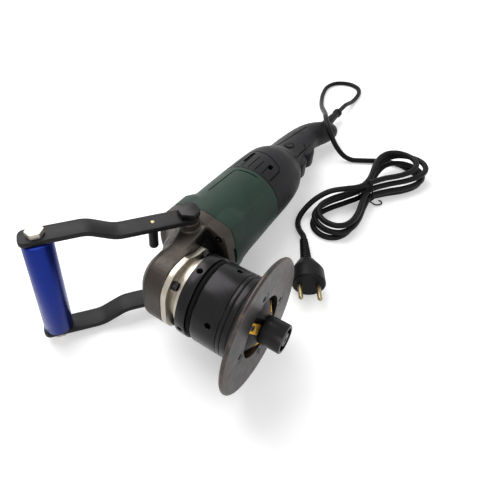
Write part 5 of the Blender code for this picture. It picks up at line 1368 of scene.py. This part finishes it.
HANK_EXIT = (
    (-0.0160, 0.0034, 0.0306), (-0.0310, 0.0122, 0.0306), (-0.0450, 0.0224, 0.0278),
    (-0.0600, 0.0302, 0.0192), (-0.0760, 0.0326, 0.0096), (-0.0910, 0.0290, 0.0048),
    (-0.1025, 0.0205, 0.0058), (-0.1112, 0.0095, 0.0098),
)
TIE_TAIL = (
    (0.0020, -0.0150, 0.0024), (0.0062, -0.0182, 0.0018), (0.0108, -0.0188, 0.0014),
    (0.0138, -0.0160, 0.0014), (0.0128, -0.0128, 0.0014),
)
HANK_TURN = Matrix.Translation((0.1065, -0.0945, 0)) @ Matrix.Rotation(math.radians(-17.2), 4, "Z")
PLUG_FRAME = (
    HANK_TURN @ Matrix.Translation((-0.1230, -0.0060, 0.0149)) @ Matrix.Rotation(math.radians(-134), 4, "Z")
    @ Matrix.Rotation(math.radians(-3), 4, "Y")
)
EXIT_STRAIGHT = 0.014
FLOOR_GAP = 0.0001
LAYER_GAP = 0.0009
RUN_POINTS = 12
FAR_REACH, NEAR_REACH = 0.0930, 0.0920
FAR_SHIFT, TOP_TURN_SHIFT, NEAR_SHIFT = -0.0080, 0.0020, -0.0050
FAR_SPREAD, NEAR_SPREAD = 0.0540, 0.0490
WAIST_SOFTNESS, WAIST_ROW, CLIMB_SPEED, TOP_ROW_RISE = 0.2, 0.97, 1.5, 0.0010


def smooth_path(points, spacing):
    """A curve through the given points, read again at even steps, and its length."""
    ends = [2 * points[0] - points[1], *points, 2 * points[-1] - points[-2]]
    fine_points = []
    for before, start, end, after in zip(ends, ends[1:], ends[2:], ends[3:]):
        for step in range(16):
            t = step / 16
            fine_points.append((
                2 * start + (end - before) * t + (2 * before - 5 * start + 4 * end - after) * t ** 2
                + (3 * start - before - 3 * end + after) * t ** 3
            ) / 2)
    fine_points.append(ends[-2])
    lengths = [0]
    for start, end in zip(fine_points, fine_points[1:]):
        lengths.append(lengths[-1] + (end - start).length)
    wanted = np.linspace(0, lengths[-1], max(2, round(lengths[-1] / spacing)) + 1)
    columns = [np.interp(wanted, lengths, [point[axis] for point in fine_points]) for axis in range(3)]
    return [Vector(values) for values in zip(*columns)], lengths[-1]


def hank_heights(lead):
    """From layer to layer, from row to row at the waist, and the waist's lowest row."""
    layer = 2 * lead.radius + LAYER_GAP
    return layer, layer * WAIST_ROW, lead.radius + FLOOR_GAP + 2 * lead.wire + GAP


def hank_run(lead, side, column, waist_height, starts, ends, heading):
    layer = hank_heights(lead)[0]
    floor = lead.radius + FLOOR_GAP
    points = []
    for index in range(RUN_POINTS + 1):
        angle = math.pi * index / RUN_POINTS
        reach, shift, spread, level = starts if index <= RUN_POINTS / 2 else ends
        sine, cosine = math.sin(angle), math.cos(angle)
        soft = math.hypot(cosine, WAIST_SOFTNESS) - WAIST_SOFTNESS
        across = side * (column + spread * soft) * sine + shift * soft
        closeness = min(1, abs(cosine) * CLIMB_SPEED)
        blend = closeness ** 2 * (3 - 2 * closeness)
        height = waist_height + (floor + layer * level - waist_height) * blend
        points.append(Vector((heading * reach * cosine, across, height)))
    return points


def hank_points(lead):
    layer, row, waist = hank_heights(lead)
    far_turns = [
        (FAR_REACH, FAR_SHIFT, FAR_SPREAD, 0), (FAR_REACH, FAR_SHIFT, FAR_SPREAD, 1),
        (FAR_REACH + layer, FAR_SHIFT, FAR_SPREAD, 2), (FAR_REACH - layer / 2, TOP_TURN_SHIFT, FAR_SPREAD, 3),
    ]
    near_turns = [
        (NEAR_REACH, NEAR_SHIFT, NEAR_SPREAD, 0), (NEAR_REACH - layer / 2, NEAR_SHIFT, NEAR_SPREAD, 1),
        (NEAR_REACH - layer, NEAR_SHIFT, NEAR_SPREAD, 2),
    ]
    points = []
    for run, (column, level) in enumerate(zip((1, 1, 2, 2, 1, 1), (0, 0, 1, 1, 2, 2))):
        turns = (far_turns[run // 2], near_turns[run // 2], far_turns[(run + 1) // 2])
        starts, ends = turns[run % 2:run % 2 + 2]
        side, heading = (-1, 1) if run % 2 == 0 else (1, -1)
        points += hank_run(lead, side, column * layer / 2, waist + level * row, starts, ends, heading)[:-1]
    top = waist + 2 * row + layer + TOP_ROW_RISE
    points += hank_run(lead, -1, 0, top, far_turns[3], far_turns[3], 1)[:RUN_POINTS // 2 + 1]
    return points


def lead_path(lead):
    guard = middle("cord_guard")
    leaving_point = MACHINE @ Vector((span("cord_guard")[0].x, guard.y, guard.z))
    direction = MACHINE.to_3x3() @ Vector((-1, 0, 0))
    hank = [Vector(point) for point in HANK_ENTRY] + hank_points(lead)
    leaving = smooth_path([hank[-1]] + [Vector(point) for point in HANK_EXIT], 0.009)[0]
    hank = [HANK_TURN @ point for point in hank + leaving[1:]]
    hank += [PLUG_FRAME @ Vector((-reach, 0, 0)) for reach in (2 * lead.radius, GAP)]
    entry = (hank[1] - hank[0]).normalized() * 2 * lead.radius
    hank.insert(1, hank[0] + entry)
    route = [Vector(point) for point in CORD_ROUTE]
    points = [leaving_point, leaving_point + direction * EXIT_STRAIGHT, *route, hank[0] - entry, *hank]
    floor = lead.radius + FLOOR_GAP
    return [Vector((x, y, max(z, floor))) for x, y, z in smooth_path(points, 0.003)[0]], leaving_point


def lead_pieces(lead):
    points, leaving_point = lead_path(lead)
    cord = cord_curve("mains_lead", points, lead.radius, 4)
    cord.data.materials.append(finishes["rubber"])
    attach(cord, "root")
    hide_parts("power_cord", "cord_hank")
    tie = tie_piece(lead)
    plug = plug_piece()


def tie_piece(lead):
    layer, row, waist = hank_heights(lead)
    rows = [waist + row * index for index in range(3)]
    half = layer / 2
    centres = [
        (-half, rows[0]), (half, rows[0]), (-layer, rows[1]), (layer, rows[1]), (-half, rows[2]),
        (half, rows[2]), (0, rows[2] + layer + TOP_ROW_RISE),
    ]
    offset = lead.radius + GAP + lead.wire
    points = []
    for index in range(27):
        share = index / 26
        angle = -math.pi / 2 - math.radians(50) - math.tau * share
        across, upward = math.cos(angle), math.sin(angle)
        centre = max(centres, key=lambda place: place[0] * across + place[1] * upward)
        drift = (2 * share - 1) * (2 * lead.wire)
        points.append(Vector((drift, centre[0] + across * offset, centre[1] + upward * offset)))
    points += [Vector(point) for point in TIE_TAIL]
    tie = tube(smooth_path([HANK_TURN @ point for point in points], 0.0012)[0], lead.wire, 10)
    return fine(tie, "cord_tie", "rubber", matrix=Matrix.Identity(4))


def plug_piece():
    neck, body_length, body_radius, ribs = 0.034, 0.034, 0.0175, 8
    body_end = neck + body_length
    profile = [
        (body_radius - 0.0016, body_end), (body_radius, body_end - 0.0016),
        (body_radius, neck + body_length * 0.47), (body_radius - 0.0012, neck + body_length * 0.40),
        (0.0098, neck + 0.002), (0.0082, neck),
    ]
    step = neck / ribs
    for index in range(ribs):
        share = 1 - (index + 0.5) / ribs
        radius = 0.0046 + (0.0064 - 0.0046) * share
        end = neck - neck * index / ribs
        profile += [(radius - 0.0009, end - step * 0.15), (radius - 0.0009, end - step * 0.45)]
        profile += [(radius, end - step * 0.55), (radius, end - step * 0.95)]
    profile += [(0.0044, 0.0004), (0.0040, 0)]
    pin = [(0.0024, body_end - OVERRUN), (0.0024, body_end + 0.0175), (0.0012, body_end + 0.019)]
    pins = [turned(pin, "X", (0, y, 0), SMALL) for y in (-0.0095, 0.0095)]
    plug = fine(united(turned(profile, "X", count=64), *pins), "plug", "rubber", matrix=PLUG_FRAME)
    plug.data.materials.append(finishes["brass"])
    inverse = PLUG_FRAME.inverted()
    for face in plug.data.polygons:
        if (inverse @ face.center).x > body_end + 0.0001:
            face.material_index = 1
    return plug


# Pieces that stay as the frame gives them
INNER_FINISHES = {
    "ground": ("spindle", "crown_gear", "spindle_bearing"),
    "motor_steel": ("front_bearing", "rear_bearing", "rotor_shaft", "rotor_core", "stator_core"),
    "copper": ("commutator", "field_windings"),
    "charcoal": ("fan", "switch_module"),
    "brass": ("brush_carrier",),
    "carbon": ("carbon_brush_1", "carbon_brush_2"),
}


def inner_finishes():
    for finish, names in INNER_FINISHES.items():
        for name in names:
            materials = frame["nodes"][name].data.materials
            materials.clear()
            materials.append(finishes[finish])


# Stage: camera, floor, lamps and surroundings
CAMERA_PLACE = (0.2388, 0.3240, -0.1966)
CAMERA_RIGHT = (-0.6067, -0.0252, -0.7946)
CAMERA_UP = (-0.4808, 0.8076, 0.3415)
CAMERA_BACK = (0.6331, 0.5892, -0.5021)
CAMERA_SHIFT = (0.1454, -0.0944)
WHITE = (1, 1, 1, 1)
FLOOR_COLOUR, FLOOR_PLACE, FLOOR_GLOW = (0.80, 0.80, 0.80), (0, 0, -0.0002), 0.34
KEY_PLACE, KEY_TARGET, KEY_SIZE = (0.30, 0.85, 1.30), (-0.05, 0, 0.05), 1.5
FILL_PLACE, FILL_TARGET, FILL_SIZE = (-1.2, -0.9, 0.9), (0, 0, 0.05), 0.9


def make_camera(stage):
    data = bpy.data.cameras.new("camera")
    data.lens = stage.lens
    data.sensor_width = 36
    data.shift_x, data.shift_y = CAMERA_SHIFT
    data.clip_start, data.clip_end = 0.01, 100
    camera = linked("camera", data)
    turn = Matrix((CAMERA_RIGHT, CAMERA_UP, CAMERA_BACK)).transposed().to_4x4()
    camera.matrix_world = MACHINE @ Matrix.Translation(CAMERA_PLACE) @ turn
    bpy.context.scene.camera = camera


def seen_directly(owner):
    """One where the camera, a mirror or glass sees the surface."""
    path = node(owner, "ShaderNodeLightPath", {}).outputs
    first = {0: path["Is Camera Ray"], 1: path["Is Glossy Ray"]}
    second = {0: node(owner, "ShaderNodeMath", first, operation="MAXIMUM").outputs[0]}
    second[1] = path["Is Transmission Ray"]
    return node(owner, "ShaderNodeMath", second, operation="MAXIMUM").outputs[0]


def make_floor(stage):
    bpy.ops.object.select_all(action="DESELECT")
    bpy.ops.mesh.primitive_plane_add(size=stage.floor, location=FLOOR_PLACE)
    floor = bpy.context.object
    floor.name = "floor"
    finish = surface("pale_floor", FLOOR_COLOUR, 0.0, 0.9, 0.0)
    shader_of(finish).inputs["Emission Color"].default_value = WHITE
    set_shader(finish, "Emission Strength", product(finish, seen_directly(finish), FLOOR_GLOW))
    floor.data.materials.append(finish)


def soft_box(name, place, target, size, power):
    data = bpy.data.lights.new(name, "AREA")
    data.shape = "RECTANGLE"
    data.size = data.size_y = size
    data.energy = power
    aim = (Vector(target) - Vector(place)).to_track_quat("-Z", "Y").to_matrix().to_4x4()
    linked(name, data).matrix_world = Matrix.Translation(place) @ aim


def make_lights(stage):
    soft_box("key_light", KEY_PLACE, KEY_TARGET, KEY_SIZE, stage.key_power)
    soft_box("fill_light", FILL_PLACE, FILL_TARGET, FILL_SIZE, stage.fill_power)
    world = bpy.data.worlds.new("surroundings")
    bpy.context.scene.world = world
    world.use_nodes = True
    background = world.node_tree.nodes["Background"]
    background.inputs["Color"].default_value = WHITE
    strength = ranged(world, seen_directly(world), stage.ambient, 1.0, 0.0, 1.0)
    world.node_tree.links.new(strength, background.inputs["Strength"])
    bpy.context.scene.view_settings.view_transform = "Standard"


# Operators, one for the stage and one for each group of pieces
class BEVELER_OT_stage(bpy.types.Operator):
    """Camera, floor and light"""
    bl_idname = "beveler.stage"
    bl_label = "Stage"

    def execute(self, context):
        for make in (make_camera, make_floor, make_lights):
            make(context.scene.beveler_stage)
        return {"FINISHED"}


class BEVELER_OT_finishes(bpy.types.Operator):
    """Finishes of all pieces"""
    bl_idname = "beveler.finishes"
    bl_label = "Finishes"

    def execute(self, context):
        make_finishes(context.scene.beveler_colours)
        return {"FINISHED"}


class BEVELER_OT_mains_lead(bpy.types.Operator):
    """Mains lead with its guard, hank, tie and plug"""
    bl_idname = "beveler.mains_lead"
    bl_label = "Mains lead"

    def execute(self, context):
        guard_piece()
        lead_pieces(context.scene.beveler_lead)
        return {"FINISHED"}


class BEVELER_OT_gear_head(bpy.types.Operator):
    """Gear casting, cover plate, collar, screws and lock button"""
    bl_idname = "beveler.gear_head"
    bl_label = "Gear head"

    def execute(self, context):
        gear_head_pieces()
        cover_pieces()
        collar_piece(context.scene.beveler_guide)
        lock_button_piece()
        housing_screw_pieces()
        return {"FINISHED"}


class BEVELER_OT_depth_stage(bpy.types.Operator):
    """Lock ring, rubber ring and depth sleeve"""
    bl_idname = "beveler.depth_stage"
    bl_label = "Depth sleeve"

    def execute(self, context):
        ring_pieces(context.scene.beveler_guide)
        sleeve_piece(context.scene.beveler_guide)
        return {"FINISHED"}


class BEVELER_OT_guide_plate(bpy.types.Operator):
    """Guide plate and its screws"""
    bl_idname = "beveler.guide_plate"
    bl_label = "Guide plate"

    def execute(self, context):
        guide_plate_pieces(context.scene.beveler_guide)
        return {"FINISHED"}


class BEVELER_OT_cutter(bpy.types.Operator):
    """Cutter, inserts, guide roller and their screws"""
    bl_idname = "beveler.cutter"
    bl_label = "Cutter"

    def execute(self, context):
        cutter_pieces()
        roller_pieces()
        return {"FINISHED"}


class BEVELER_OT_motor(bpy.types.Operator):
    """Green motor housing"""
    bl_idname = "beveler.motor"
    bl_label = "Motor housing"

    def execute(self, context):
        motor_pieces(context.scene.beveler_motor)
        return {"FINISHED"}


class BEVELER_OT_rear_housing(bpy.types.Operator):
    """Rear housing halves, trigger and side button"""
    bl_idname = "beveler.rear_housing"
    bl_label = "Rear housing"

    def execute(self, context):
        rear_housing_pieces(context.scene.beveler_motor)
        trigger_pieces()
        return {"FINISHED"}


class BEVELER_OT_handle(bpy.types.Operator):
    """Arms, grip tube, bolts and stop pins"""
    bl_idname = "beveler.handle"
    bl_label = "Front handle"

    def execute(self, context):
        arm_pieces(context.scene.beveler_handle)
        grip_pieces(context.scene.beveler_handle)
        return {"FINISHED"}


class BEVELER_OT_inner_pieces(bpy.types.Operator):
    """Finishes of the pieces inside"""
    bl_idname = "beveler.inner_pieces"
    bl_label = "Inner pieces"

    def execute(self, context):
        inner_finishes()
        return {"FINISHED"}


OPERATORS = (
    BEVELER_OT_stage, BEVELER_OT_finishes, BEVELER_OT_mains_lead, BEVELER_OT_gear_head,
    BEVELER_OT_depth_stage, BEVELER_OT_guide_plate, BEVELER_OT_cutter, BEVELER_OT_motor,
    BEVELER_OT_rear_housing, BEVELER_OT_handle, BEVELER_OT_inner_pieces,
)


class BEVELER_PT_panel(bpy.types.Panel):
    """Lists the machine's pieces and their settings"""
    bl_idname = "BEVELER_PT_panel"
    bl_label = "Edge Beveling Machine"
    bl_space_type = "VIEW_3D"
    bl_region_type = "UI"
    bl_category = "Beveler"

    def draw(self, context):
        for operator in OPERATORS:
            self.layout.operator(operator.bl_idname)
        for name, settings in SETTINGS.items():
            box = self.layout.box()
            for key in settings.__annotations__:
                box.prop(getattr(context.scene, name), key)


CLASSES = (*SETTINGS.values(), *OPERATORS, BEVELER_PT_panel)


def register():
    for cls in CLASSES:
        bpy.utils.register_class(cls)
    for name, settings in SETTINGS.items():
        setattr(bpy.types.Scene, name, PointerProperty(type=settings))


def unregister():
    for name in SETTINGS:
        delattr(bpy.types.Scene, name)
    for cls in reversed(CLASSES):
        bpy.utils.unregister_class(cls)


def main():
    register()
    for operator in OPERATORS:
        group, name = operator.bl_idname.split(".")
        getattr(getattr(bpy.ops, group), name)()


if __name__ == "__main__":
    main()
